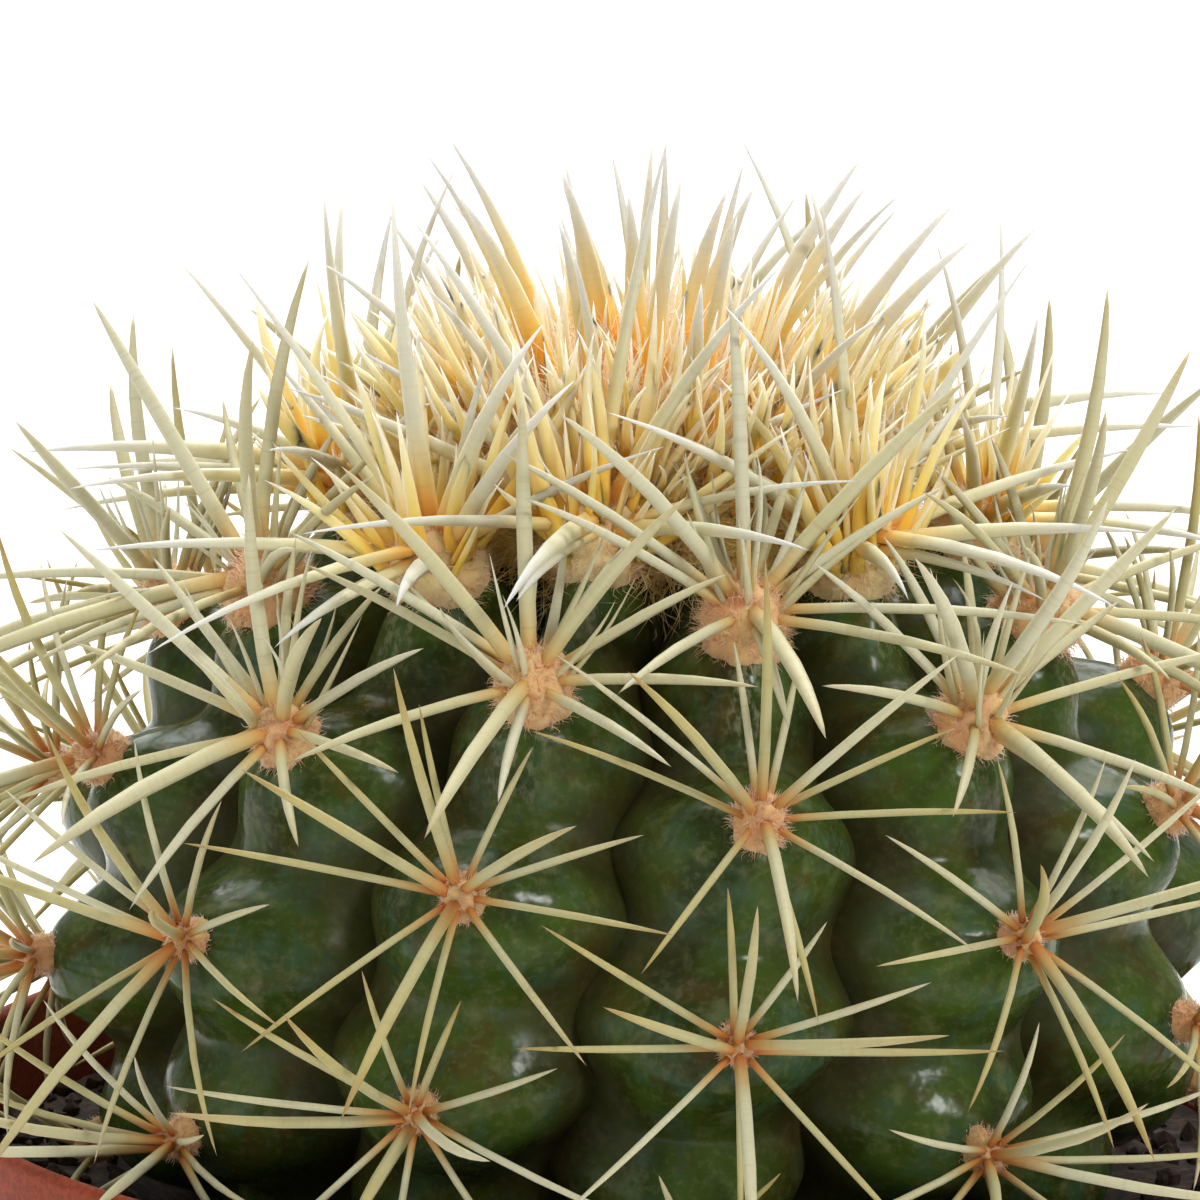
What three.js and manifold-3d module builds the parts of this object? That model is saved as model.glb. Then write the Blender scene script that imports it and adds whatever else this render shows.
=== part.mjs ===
// A young golden barrel cactus in a round plastic nursery pot, in millimetres, +Z up.
// The origin is the middle of the pot's underside. The plant's front faces -Y.
import * as THREE from "three";
import { mergeVertices } from "three/addons/utils/BufferGeometryUtils.js";
import Module from "manifold-3d";

const wasm = await Module();
wasm.setup();

// ---------------------------------------------------------------- driving dimensions

const GAP = 0.3; // between pieces that touch on the real plant

const POT = {
  height: 75,
  rimRadius: 42.5,
  wall: 1,
  collarHeight: 9,
  collarStep: 1.7, // how far the collar stands out from the wall below it
  baseRadius: 30.5,
  baseBevel: 1.2,
  floor: 1.8,
  sides: 48,
  drains: 8,
  drainRadius: 3.4,
  drainRing: 21,
  drainSides: 12,
};

const SOIL = {
  depthBelowRim: 5.8,
  lump: 0.45, // height of the crumbs on its surface
  bands: 4,
  sides: 48,
};

const BODY = {
  centreHeight: 85.2, // the widest level, above the pot's underside
  radius: 36.3, // out to the crests of the ribs
  halfHeight: 28,
  valley: 5.6, // depth of the grooves between ribs
  notch: 3.1, // depth of the dips between the tubercles of one rib
  ribs: 13,
  ribRoundness: 1.8, // power of the curve across a rib: 2 is round, and 1 a plain ridge
  notchSharpness: 2.4, // the same along a rib, from one tubercle to the next
  bulgeBelow: 0.08, // how far under its cushion a tubercle stands out most, in tubercles
  stepsAcrossRib: 4,
  stepsAlongTubercle: 6,
  ribsStart: { from: -54, to: -32 }, // the latitudes between which the ribs rise from the round foot
  ribsEnd: { from: 84, to: 62 }, // and between which they fade under the crown
  footLatitudes: [-58, -49, -41],
  evenLatitudes: { from: -34, to: 74 }, // rings one tubercle step apart
  topLatitudes: [78, 84],
};

// The wool cushions that carry the spines sit on one spiral, numbered downwards from the crown.
// Each is 138.2 degrees further round than the one before, and every thirteenth is on the same rib.
const SPIRAL = {
  azimuthOfZero: 12.3, // degrees to the right of the front
  latitudeOfZero: 27.5,
  latitudeStep: 1.95,
  twist: -0.24, // degrees that a rib leans per number
  evenFrom: -14, // above this number the cushions crowd together towards the crown
  first: -21,
  last: 28,
  highest: -38,
};

// A cushion's levels: its underside, its shoulder, its brow and its top.
const CUSHION = {
  radius: 2.1,
  crownRadius: 2.9, // of the fuller cushions round the crown
  shoulder: { radius: 1.43, height: 0.85 },
  brow: { radius: 0.88, height: 1.3 },
  top: 1.6,
  crownHeight: 1.4, // how much higher the fuller ones are
};

// Spines by the clock round their cushion, in degrees: 0 is towards the crown, 90 to the right.
// The radial spines are listed from one to the next against the clock.
const RADIAL = { lift: 19, radius: 0.41, bow: 0.035, clockJitter: 8, liftJitter: 4 };
const RADIALS = [
  { ...RADIAL, clock: 347, length: 9.8 },
  { ...RADIAL, clock: 304, length: 13.6 },
  { ...RADIAL, clock: 277, length: 14.4 },
  { ...RADIAL, clock: 225, length: 14.3 },
  { ...RADIAL, clock: 179, length: 13 },
  { ...RADIAL, clock: 137, length: 14.4 },
  { ...RADIAL, clock: 97, length: 14.4 },
  { ...RADIAL, clock: 65, length: 12.2 },
  { ...RADIAL, clock: 21, length: 9.2 },
];
// Each central spine stands on the brow, over the radial spine whose place in the list it names.
const CENTRAL = { lift: 50, radius: 0.55, bow: 0.045, clockJitter: 8, liftJitter: 4 };
const CENTRALS = [
  { ...CENTRAL, over: 4, clock: 187, length: 17.5, lift: 37, upperLift: 20, radius: 0.67 },
  { ...CENTRAL, over: 0, clock: 358, length: 16 },
  { ...CENTRAL, over: 7, clock: 70, length: 16 },
  { ...CENTRAL, over: 2, clock: 293, length: 15.5 },
];

const SPINE = {
  middle: 0.52, // where along its length a spine bends
  middleWidth: 0.85, // its width there, as a share of its radius
  rootWidth: 1.2,
  lengthJitter: 0.12,
  clearance: 0.14,
  tests: 20, // places along a spine where its room is tested
  freeRoot: 3, // the first of them that counts
  freeNeck: 6, // from here on it keeps its full clearance to the skin
  upperGrowth: 0.3, // how much longer the spines near the crown are
  growthFrom: 36, // the latitudes between which they lengthen and the wool grows fuller
  growthTo: 68,
  hangFrom: 24, // the latitudes between which a spine takes its upper lift
  hangTo: 46,
  bends: {
    shares: [1, 0.85, 0.7, 0.55], // of the length
    lifts: [0, 5, -4, 10, 16, 24, 34],
    clocks: [0, 6, -6, 12, -12, 18, -18],
    costOfShare: 90, // against a degree of lift
    costOfClock: 0.8,
  },
};

// The mound of wool on top. Its levels are rings of facets, from the edge to the top. Each facet
// that points up carries a young spine, which leans outwards.
const CROWN = {
  radius: 10.3,
  height: 5.6,
  edgeHeight: 1,
  sides: 12,
  lump: 0.3,
  collar: 0.9, // length over which a facet narrows to the spine's root
  levels: [
    { share: 0.97, lean: 43, length: 16 },
    { share: 0.66, lean: 28, length: 15.5 },
    { share: 0.34, lean: 14, length: 12.5 },
  ],
  spine: { radius: 0.56, bow: 0.045, clockJitter: 26, liftJitter: 9 },
};

const SEED = 7780;

// ---------------------------------------------------------------- materials

/** A plain finish from a colour and a roughness. */
const finish = (color, roughness) =>
  new THREE.MeshStandardMaterial({ color, roughness, metalness: 0 });

const FINISH = {
  plastic: finish(0x8c4a35, 0.45),
  soil: finish(0x2b2018, 0.95),
  skin: finish(0x39431f, 0.4),
  spine: finish(0xd3c98f, 0.5),
  wool: finish(0xd9ab55, 0.9),
};

// ---------------------------------------------------------------- small helpers

const radians = THREE.MathUtils.degToRad;
const vector = (x, y, z) => new THREE.Vector3(x, y, z);

/** A share from 0 to 1 that eases in and out between two values. */
function smooth(from, to, value) {
  const share = THREE.MathUtils.clamp((value - from) / (to - from), 0, 1);
  return share * share * (3 - 2 * share);
}

/** Draws of -1 to 1 that are the same on each run. */
function seeded(seed) {
  let state = seed >>> 0;
  return () => {
    state = (Math.imul(state, 1664525) + 1013904223) >>> 0;
    return (2 * state) / 2 ** 32 - 1;
  };
}

/** A closed geometry as a solid that can be joined and cut. */
function solidOf(geometry) {
  const bare = geometry.clone();
  bare.deleteAttribute("normal");
  bare.deleteAttribute("uv");
  const merged = mergeVertices(bare, 1e-4);
  return new wasm.Manifold(
    new wasm.Mesh({
      numProp: 3,
      vertProperties: new Float32Array(merged.attributes.position.array),
      triVerts: new Uint32Array(merged.index.array),
    }),
  );
}

/** A solid as a geometry again. */
function geometryOf(solid) {
  const { vertProperties, triVerts } = solid.getMesh();
  const geometry = new THREE.BufferGeometry();
  geometry.setAttribute("position", new THREE.BufferAttribute(vertProperties, 3));
  geometry.setIndex(new THREE.BufferAttribute(triVerts, 1));
  geometry.computeVertexNormals();
  return geometry;
}

/** A closed surface of triangles. Rings run against the clock, seen from outside. */
class Surface {
  points = [];
  faces = [];

  /** Adds points and returns their numbers. */
  add(points) {
    const first = this.points.length;
    this.points.push(...points);
    return points.map((_, i) => first + i);
  }

  /** The middle of some of its points. */
  middle(numbers) {
    const sum = numbers.reduce((total, i) => total.add(this.points[i]), vector(0, 0, 0));
    return sum.divideScalar(numbers.length);
  }

  /** Joins a ring to another with as many points, further out. */
  band(from, to) {
    from.forEach((a, i) => {
      const next = (i + 1) % from.length;
      this.faces.push([a, from[next], to[next]], [a, to[next], to[i]]);
    });
  }

  /** Closes a ring with one point. */
  fan(ring, point) {
    ring.forEach((a, i) => this.faces.push([a, ring[(i + 1) % ring.length], point]));
  }

  /** Raises a spine from a facet, along its bent axis of root, middle and tip. */
  raise(facet, [root, middle, tip], radius, collar = 0) {
    const centre = this.middle(facet);
    const way = tip.clone().sub(root).normalize();
    const arms = facet.map((i) => this.points[i].clone().sub(centre));
    arms.forEach((arm) => arm.addScaledVector(way, -arm.dot(way)));
    const ring = (at, width) => this.add(arms.map((arm) => arm.clone().setLength(width).add(at)));
    let last = facet;
    if (collar) {
      const neck = ring(root.clone().addScaledVector(way, collar), radius);
      this.band(last, neck);
      last = neck;
    }
    const bend = ring(middle, radius * SPINE.middleWidth);
    this.band(last, bend);
    this.fan(bend, this.add([tip])[0]);
  }

  geometry() {
    const geometry = new THREE.BufferGeometry();
    const numbers = this.points.flatMap((p) => [p.x, p.y, p.z]);
    geometry.setAttribute("position", new THREE.Float32BufferAttribute(numbers, 3));
    geometry.setIndex(this.faces.flat());
    geometry.computeVertexNormals();
    return geometry;
  }
}

/** A surface through rings, each further on, closed at both ends by a point. */
function loft(start, rings, end) {
  const surface = new Surface();
  const [first, last] = surface.add([start, end]);
  const levels = rings.map((ring) => surface.add(ring));
  surface.fan([...levels[0]].reverse(), first);
  levels.slice(1).forEach((level, i) => surface.band(levels[i], level));
  surface.fan(levels.at(-1), last);
  return surface.geometry();
}

/** A profile of [radius, height] points turned about the Z axis. */
function turned(profile, sides) {
  const points = profile.map(([radius, height]) => new THREE.Vector2(radius, height));
  return new THREE.LatheGeometry(points, sides).rotateX(Math.PI / 2);
}

/** One named piece of the plant or its pot. */
function piece(name, geometry, material) {
  const mesh = new THREE.Mesh(geometry, material);
  mesh.name = name;
  return mesh;
}

// ---------------------------------------------------------------- the pot

const collarBottom = POT.height - POT.collarHeight;
const wallTopRadius = POT.rimRadius - POT.collarStep;
const wallSlope = (wallTopRadius - POT.baseRadius) / collarBottom;

/** The pot's inner radius at a height above its underside. */
function potInnerRadius(height) {
  if (height > collarBottom) return POT.rimRadius - POT.wall;
  return POT.baseRadius + wallSlope * height - POT.wall;
}

/** A flat-bottomed shell with a collar round its mouth and a ring of drain holes in its floor. */
function makePot() {
  const { height, rimRadius, wall, baseRadius, baseBevel, floor } = POT;
  const lip = wall / 2;
  const shell = turned(
    [
      [0, 0],
      [baseRadius - baseBevel, 0],
      [baseRadius, baseBevel],
      [wallTopRadius, collarBottom],
      [rimRadius, collarBottom],
      [rimRadius, height - lip],
      [rimRadius - lip, height],
      [rimRadius - wall, height - lip],
      [rimRadius - wall, collarBottom + wall],
      [wallTopRadius - wall, collarBottom],
      [potInnerRadius(floor), floor],
      [0, floor],
    ],
    POT.sides,
  );
  const drains = Array.from({ length: POT.drains }, (_, i) => {
    const turn = ((i + 0.5) / POT.drains) * 2 * Math.PI;
    const drill = new THREE.CylinderGeometry(
      POT.drainRadius,
      POT.drainRadius,
      floor * 4,
      POT.drainSides,
    );
    drill.rotateX(Math.PI / 2);
    drill.translate(Math.cos(turn) * POT.drainRing, Math.sin(turn) * POT.drainRing, 0);
    return solidOf(drill);
  });
  const cut = solidOf(shell).subtract(wasm.Manifold.union(drains));
  return piece("pot", geometryOf(cut), FINISH.plastic);
}

// ---------------------------------------------------------------- the plant's form

const ribStep = 360 / BODY.ribs;
const crowdingPolar = 90 - SPIRAL.latitudeOfZero + SPIRAL.latitudeStep * SPIRAL.evenFrom;
const crowdingRate = SPIRAL.latitudeStep / crowdingPolar;

/** The latitude of a cushion, from its number on the spiral. */
function latitudeOf(number) {
  if (number >= SPIRAL.evenFrom) return SPIRAL.latitudeOfZero - SPIRAL.latitudeStep * number;
  return 90 - crowdingPolar * Math.exp(crowdingRate * (number - SPIRAL.evenFrom));
}

/** The number on the spiral at a latitude, with its fraction. */
function numberAt(latitude) {
  const even = (SPIRAL.latitudeOfZero - latitude) / SPIRAL.latitudeStep;
  if (even >= SPIRAL.evenFrom) return even;
  const polar = Math.max(90 - latitude, 90 - latitudeOf(SPIRAL.highest));
  return SPIRAL.evenFrom + Math.log(polar / crowdingPolar) / crowdingRate;
}

/** The bearing of a cushion, in degrees to the right of the front. */
const azimuthOf = (number) => SPIRAL.azimuthOfZero + number * (5 * ribStep + SPIRAL.twist);

/** A point of the smooth form that the ribs' crests touch, or over it. */
function envelope(azimuth, latitude, over = 0) {
  const a = radians(azimuth);
  const t = radians(latitude);
  const level = (BODY.radius + over) * Math.cos(t);
  const height = (BODY.halfHeight + over) * Math.sin(t);
  return vector(level * Math.sin(a), -level * Math.cos(a), height);
}

/** A point of the skin. Phase counts ribs round the plant, from the one that holds number 0. */
function skin(phase, latitude) {
  const number = numberAt(latitude);
  const rib = Math.round(phase);
  const across = Math.abs(2 * (phase - rib));
  const place = (number - 8 * rib) / BODY.ribs;
  const from = place - BODY.bulgeBelow + 0.5;
  const below = from - Math.floor(from) - 0.5; // 0 where a tubercle stands out most, half in the dips
  const crest = 1 - across ** BODY.ribRoundness;
  const dip = Math.abs(2 * below) ** BODY.notchSharpness;
  const { ribsStart, ribsEnd } = BODY;
  const fade =
    smooth(ribsEnd.from, ribsEnd.to, latitude) * smooth(ribsStart.from, ribsStart.to, latitude);
  const depth = fade * (BODY.valley * (1 - crest) + BODY.notch * crest * dip);
  const azimuth = SPIRAL.azimuthOfZero + phase * ribStep + SPIRAL.twist * number;
  return envelope(azimuth, latitude, -depth);
}

/** The ribbed body, closed by a flat foot in the soil and by its top under the crown's wool. */
function makeBody() {
  const columns = BODY.ribs * BODY.stepsAcrossRib;
  const step = (SPIRAL.latitudeStep * BODY.ribs) / BODY.stepsAlongTubercle;
  const { from, to } = BODY.evenLatitudes;
  const latitudes = [...BODY.footLatitudes];
  for (let latitude = from; latitude < to; latitude += step) latitudes.push(latitude);
  latitudes.push(...BODY.topLatitudes);
  const rings = latitudes.map((latitude) =>
    Array.from({ length: columns }, (_, i) => skin(i / BODY.stepsAcrossRib, latitude)),
  );
  const foot = vector(0, 0, envelope(0, latitudes[0]).z);
  return piece("cactus_body", loft(foot, rings, envelope(0, 90)), FINISH.skin);
}

// ---------------------------------------------------------------- the soil

const soilTop = POT.height - SOIL.depthBelowRim;

/** The soil fills the pot, with a crumbly top and a plain round hole for the body. */
function makeSoil() {
  const holeRadius = (height) => {
    const share = (height - BODY.centreHeight) / BODY.halfHeight;
    return BODY.radius * Math.sqrt(1 - share * share) + GAP;
  };
  const bodyFoot = BODY.centreHeight + envelope(0, BODY.footLatitudes[0]).z;
  const holeMiddle = (soilTop + bodyFoot) / 2;
  const draw = seeded(SEED + 1);
  const ring = (radius, height, lump = 0) =>
    Array.from({ length: SOIL.sides }, (_, i) => {
      const turn = (i / SOIL.sides) * 2 * Math.PI;
      return vector(radius * Math.sin(turn), -radius * Math.cos(turn), height + lump * draw());
    });
  const bottom = POT.floor + GAP;
  const shoulder = collarBottom - GAP;
  const ledge = collarBottom + POT.wall + GAP;
  const outer = potInnerRadius(soilTop) - GAP;
  const inner = holeRadius(soilTop);
  const top = Array.from({ length: SOIL.bands - 1 }, (_, i) =>
    ring(outer + ((inner - outer) * (i + 1)) / SOIL.bands, soilTop, SOIL.lump),
  );
  const rings = [
    ring(potInnerRadius(bottom) - GAP, bottom),
    ring(potInnerRadius(shoulder) - GAP, shoulder),
    ring(potInnerRadius(shoulder) - GAP, ledge),
    ring(outer, ledge + GAP),
    ring(outer, soilTop - SOIL.lump),
    ...top,
    ring(inner, soilTop - SOIL.lump),
    ring(holeRadius(holeMiddle), holeMiddle),
    ring(holeRadius(bodyFoot), bodyFoot - GAP),
  ];
  const start = vector(0, 0, bottom);
  return piece("soil", loft(start, rings, vector(0, 0, bodyFoot - GAP)), FINISH.soil);
}

// ---------------------------------------------------------------- where the spines go

/** The place of a cushion: its own X is to the right, Y towards the crown and Z outwards. */
function cushionPlace(number) {
  const azimuth = azimuthOf(number);
  const a = radians(azimuth);
  const right = vector(Math.cos(a), Math.sin(a), 0);
  const foot = envelope(azimuth, latitudeOf(number));
  const flat = BODY.radius ** 2;
  const out = vector(foot.x / flat, foot.y / flat, foot.z / BODY.halfHeight ** 2).normalize();
  const up = vector(0, 0, 0).crossVectors(out, right);
  foot.addScaledVector(out, GAP);
  return new THREE.Matrix4().makeBasis(right, up, out).setPosition(foot);
}

/** The bent axis of a spine from its root: root, middle and tip. */
function spineAxis(root, { clock, lift, length, bow }) {
  const c = radians(clock);
  const l = radians(lift);
  const along = (share, stand) => {
    const side = length * (share * Math.cos(l) - stand * Math.sin(l));
    const out = length * (share * Math.sin(l) + stand * Math.cos(l));
    return vector(side * Math.sin(c), side * Math.cos(c), out).add(root);
  };
  return [root, along(SPINE.middle, bow), along(1, 0)];
}

/** The shortest way between two straight stretches, each given by its ends. */
function stretchDistance(p, q, r, s) {
  const one = q.clone().sub(p);
  const two = s.clone().sub(r);
  const between = p.clone().sub(r);
  const a = one.dot(one);
  const b = one.dot(two);
  const c = one.dot(between);
  const e = two.dot(two);
  const f = two.dot(between);
  const slant = a * e - b * b;
  let onOne = slant > 1e-9 ? THREE.MathUtils.clamp((b * f - c * e) / slant, 0, 1) : 0;
  let onTwo = (b * onOne + f) / e;
  if (onTwo < 0 || onTwo > 1) {
    onTwo = THREE.MathUtils.clamp(onTwo, 0, 1);
    onOne = THREE.MathUtils.clamp((b * onTwo - c) / a, 0, 1);
  }
  return between.addScaledVector(one, onOne).addScaledVector(two, -onTwo).length();
}

/** A point on a bent axis, at a share of its length. */
function pointOn([root, middle, tip], share) {
  if (share < SPINE.middle) return root.clone().lerp(middle, share / SPINE.middle);
  return middle.clone().lerp(tip, (share - SPINE.middle) / (1 - SPINE.middle));
}

/** Whether a spine keeps off the skin, the soil and the pot. */
function clearOfPot(axis, radius) {
  const margin = radius + SPINE.clearance;
  const rimInside = POT.rimRadius - POT.wall - margin - GAP;
  for (let test = SPINE.freeRoot; test <= SPINE.tests; test++) {
    const { x, y, z } = pointOn(axis, test / SPINE.tests);
    const reach = Math.hypot(x, y);
    const height = z + BODY.centreHeight;
    const room = (Math.hypot(reach / BODY.radius, z / BODY.halfHeight) - 1) * BODY.halfHeight;
    if (room < (test < SPINE.freeNeck ? 0 : margin)) return false;
    if (height < soilTop + SOIL.lump + margin) return false;
    if (height < POT.height + margin + GAP && reach > rimInside) return false;
  }
  return true;
}

const takenBySpines = []; // in the plant's frame: { group, axis, radius, reach }
const takenByCushions = []; // { group, foot, top, radius }

/** Whether a spine keeps off the other spines, and off the other groups' cushions. */
function clearOfNeighbours(group, axis, radius) {
  const reach = axis[2].distanceTo(axis[0]);
  for (const other of takenByCushions) {
    if (other.group === group) continue;
    const room = other.radius + radius + SPINE.clearance;
    for (const i of [0, 1]) {
      if (stretchDistance(axis[i], axis[i + 1], other.foot, other.top) < room) return false;
    }
  }
  const widths = [SPINE.rootWidth, SPINE.middleWidth];
  for (const other of takenBySpines) {
    if (other.axis[0].distanceTo(axis[0]) > reach + other.reach + radius + other.radius + 1) continue;
    for (const i of [0, 1]) {
      for (const j of [0, 1]) {
        if (other.group === group && i + j < 2) continue; // they may touch at the root
        const room = radius * widths[i] + other.radius * widths[j] + SPINE.clearance;
        const ends = [axis[i], axis[i + 1], other.axis[j], other.axis[j + 1]];
        if (stretchDistance(...ends) < room) return false;
      }
    }
  }
  return true;
}

/** The ways to bend a spine clear of what it would cross, the smallest first. */
function listBends() {
  const { shares, lifts, clocks, costOfShare, costOfClock } = SPINE.bends;
  const bends = [];
  for (const share of shares) {
    for (const lift of lifts) {
      for (const clock of clocks) {
        const size = (1 - share) * costOfShare + Math.abs(lift) + Math.abs(clock) * costOfClock;
        bends.push({ share, lift, clock, size });
      }
    }
  }
  return bends.sort((one, two) => one.size - two.size);
}
const BENDS = listBends();

/** Draws a spine, bends it clear and returns its axis, or null where it has no room. */
function growSpine(group, place, root, rule, growth, draw) {
  const clock = rule.clock + rule.clockJitter * draw();
  const lift = rule.lift + rule.liftJitter * draw();
  const length = rule.length * growth * (1 + SPINE.lengthJitter * draw());
  for (const bend of BENDS) {
    const axis = spineAxis(root, {
      clock: clock + bend.clock,
      lift: lift + bend.lift,
      length: length * bend.share,
      bow: rule.bow,
    });
    const placed = axis.map((point) => point.clone().applyMatrix4(place));
    if (!clearOfPot(placed, rule.radius)) continue;
    if (!clearOfNeighbours(group, placed, rule.radius)) continue;
    const reach = placed[2].distanceTo(placed[0]);
    takenBySpines.push({ group, axis: placed, radius: rule.radius, reach });
    return axis;
  }
  return null;
}

// ---------------------------------------------------------------- cushions and their spines

/** How much the spines and the wool have grown at a cushion's latitude, from 0 to 1. */
const growthAt = (number) => smooth(SPINE.growthFrom, SPINE.growthTo, latitudeOf(number));

const cushionRadius = (number) =>
  THREE.MathUtils.lerp(CUSHION.radius, CUSHION.crownRadius, growthAt(number));

/** Keeps the room of a cushion free before the first spine is drawn. */
function reserveCushion(number, place) {
  takenByCushions.push({
    group: number,
    foot: vector(0, 0, 0).applyMatrix4(place),
    top: vector(0, 0, CUSHION.top / 2).applyMatrix4(place),
    radius: cushionRadius(number),
  });
}

/** One cushion, with radial spines raised round its shoulder and central ones on its brow. */
function makeSpray(number, place, name) {
  const draw = seeded(SEED + 31 * (number + 100));
  const growth = 1 + SPINE.upperGrowth * growthAt(number);
  const rise = THREE.MathUtils.lerp(1, CUSHION.crownHeight, growthAt(number));
  const count = RADIALS.length;
  const surface = new Surface();
  const clockAt = (i) => RADIALS[(i + count) % count].clock;
  const between = (i) => clockAt(i) - (((clockAt(i) - clockAt(i + 1) + 360) % 360) / 2);
  const ring = (clock, radius, height) =>
    surface.add(
      RADIALS.map((_, i) => {
        const c = radians(clock(i));
        return vector(radius * Math.sin(c), radius * Math.cos(c), height * rise);
      }),
    );
  const foot = ring(between, cushionRadius(number), 0);
  const shoulder = ring(between, CUSHION.shoulder.radius, CUSHION.shoulder.height);
  const brow = ring(clockAt, CUSHION.brow.radius, CUSHION.brow.height);
  const [under, top] = surface.add([vector(0, 0, 0), vector(0, 0, CUSHION.top * rise)]);
  surface.fan([...foot].reverse(), under);
  surface.band(foot, shoulder);

  const hang = smooth(SPINE.hangFrom, SPINE.hangTo, latitudeOf(number));
  const raise = (facet, { upperLift, ...rule }) => {
    const root = surface.middle(facet);
    rule.lift = THREE.MathUtils.lerp(rule.lift, upperLift ?? rule.lift, hang);
    const axis = growSpine(number, place, root, rule, growth, draw);
    if (axis) surface.raise(facet, axis, rule.radius);
    else surface.fan(facet, surface.add([root])[0]);
  };
  const covered = new Set();
  for (const rule of CENTRALS) {
    const before = (rule.over + count - 1) % count;
    const after = (rule.over + 1) % count;
    covered.add(before).add(rule.over);
    raise([brow[before], brow[rule.over], brow[after], top], rule);
  }
  RADIALS.forEach((rule, i) => {
    const before = (i + count - 1) % count;
    const after = (i + 1) % count;
    raise([shoulder[before], shoulder[i], brow[i]], rule);
    surface.faces.push([shoulder[i], brow[after], brow[i]]);
    if (!covered.has(i)) surface.faces.push([brow[i], brow[after], top]);
  });

  const mesh = piece(name, surface.geometry(), FINISH.spine);
  place.decompose(mesh.position, mesh.quaternion, mesh.scale);
  return mesh;
}

// ---------------------------------------------------------------- the crown

/** The mound of wool over the growing point, with the young spines that stand in it. */
function makeCrown() {
  const draw = seeded(SEED + 2);
  const { sides, levels, height, edgeHeight, lump } = CROWN;
  const edge = THREE.MathUtils.radToDeg(Math.asin(CROWN.radius / BODY.radius));
  const surface = new Surface();
  const ring = (share, over, turn) =>
    surface.add(
      Array.from({ length: sides }, (_, i) =>
        envelope(((i + turn) / sides) * 360, 90 - edge * share, over),
      ),
    );
  const [under, top] = surface.add([envelope(0, 90, GAP), envelope(0, 90, height)]);
  const inside = ring(0.5, GAP, 0);
  const rings = [ring(1, GAP, 0)];
  levels.forEach(({ share }, level) => {
    const over = height * Math.sqrt(1 - share * share) + edgeHeight * share + lump * draw();
    rings.push(ring(share, over, level / 2));
  });
  surface.fan([...inside].reverse(), under);
  surface.band(inside, rings[0]);
  surface.band(rings[0], rings[1]);

  // Each level's facets point up and down in turn. A spine stands on each that points up.
  const identity = new THREE.Matrix4();
  levels.forEach(({ lean, length }, level) => {
    const low = rings[level + 1];
    const high = rings[level + 2] ?? low.map(() => top);
    low.forEach((a, i) => {
      const next = (i + 1) % sides;
      const facet = [a, low[next], high[i]];
      if (high[i] !== top) surface.faces.push([low[next], high[next], high[i]]);
      const root = surface.middle(facet);
      const clock = THREE.MathUtils.radToDeg(Math.atan2(root.x, root.y));
      const rule = { ...CROWN.spine, clock, length, lift: 90 - lean };
      const wanted = high[i] !== top || i % 2 === 0;
      const axis = wanted ? growSpine("crown", identity, root, rule, 1, draw) : null;
      if (axis) surface.raise(facet, axis, rule.radius, CROWN.collar);
      else surface.faces.push(facet);
    });
  });
  return piece("crown", surface.geometry(), FINISH.wool);
}

// ---------------------------------------------------------------- the whole

const plant = new THREE.Group();
plant.position.z = BODY.centreHeight;
plant.add(makeBody());

const places = new Map();
for (let number = SPIRAL.first; number <= SPIRAL.last; number++) {
  places.set(number, cushionPlace(number));
  reserveCushion(number, places.get(number));
}
plant.add(makeCrown());
for (const [number, place] of places) {
  const label = String(number - SPIRAL.first + 1).padStart(2, "0");
  plant.add(makeSpray(number, place, "spine_cluster_" + label));
}

const pottedCactus = new THREE.Group();
pottedCactus.add(makePot(), makeSoil(), plant);

export default pottedCactus;
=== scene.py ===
"""A young barrel cactus in a plastic nursery pot: its fine shapes, its finishes and a plain studio.

Lengths are in metres and angles in degrees unless a name says otherwise. The plant's front faces -Y
and the pot stands on the plane z = 0.
"""

import logging
import math
from contextlib import contextmanager
from dataclasses import dataclass, field
from enum import Enum
from functools import cache
from typing import Iterator

import bmesh
import bpy
import numpy as np
from mathutils import Matrix, Vector, noise

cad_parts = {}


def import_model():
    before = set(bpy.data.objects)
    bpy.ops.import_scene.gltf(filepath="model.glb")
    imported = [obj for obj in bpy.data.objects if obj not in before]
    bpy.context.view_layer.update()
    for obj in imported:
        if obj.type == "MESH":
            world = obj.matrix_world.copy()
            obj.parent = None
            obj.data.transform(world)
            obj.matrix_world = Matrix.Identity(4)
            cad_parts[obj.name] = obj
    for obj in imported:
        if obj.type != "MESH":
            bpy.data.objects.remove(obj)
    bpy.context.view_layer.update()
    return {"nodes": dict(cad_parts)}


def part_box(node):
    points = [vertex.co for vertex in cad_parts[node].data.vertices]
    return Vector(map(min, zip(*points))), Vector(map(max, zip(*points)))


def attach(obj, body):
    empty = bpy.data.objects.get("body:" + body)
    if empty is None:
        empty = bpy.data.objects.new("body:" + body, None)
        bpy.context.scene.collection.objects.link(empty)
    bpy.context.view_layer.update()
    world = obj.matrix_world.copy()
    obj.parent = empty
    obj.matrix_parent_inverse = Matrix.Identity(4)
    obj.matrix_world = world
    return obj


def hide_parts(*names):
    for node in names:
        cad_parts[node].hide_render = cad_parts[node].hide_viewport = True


LOG = logging.getLogger("cactus")
MM = 0.001
ROOT_BODY = "root"

Colour = tuple[float, float, float, float]


def paint(red: int, green: int, blue: int) -> Colour:
    """A colour as a paint chart gives it, from 0 to 255, made linear for the shaders.

    Args:
        red: How much red it has.
        green: How much green it has.
        blue: How much blue it has.

    Returns:
        The linear colour, fully opaque.
    """

    def linear(level: float) -> float:
        """One channel, made linear."""
        return level / 12.92 if level <= 0.04045 else ((level + 0.055) / 1.055) ** 2.4

    return linear(red / 255), linear(green / 255), linear(blue / 255), 1.0


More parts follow.
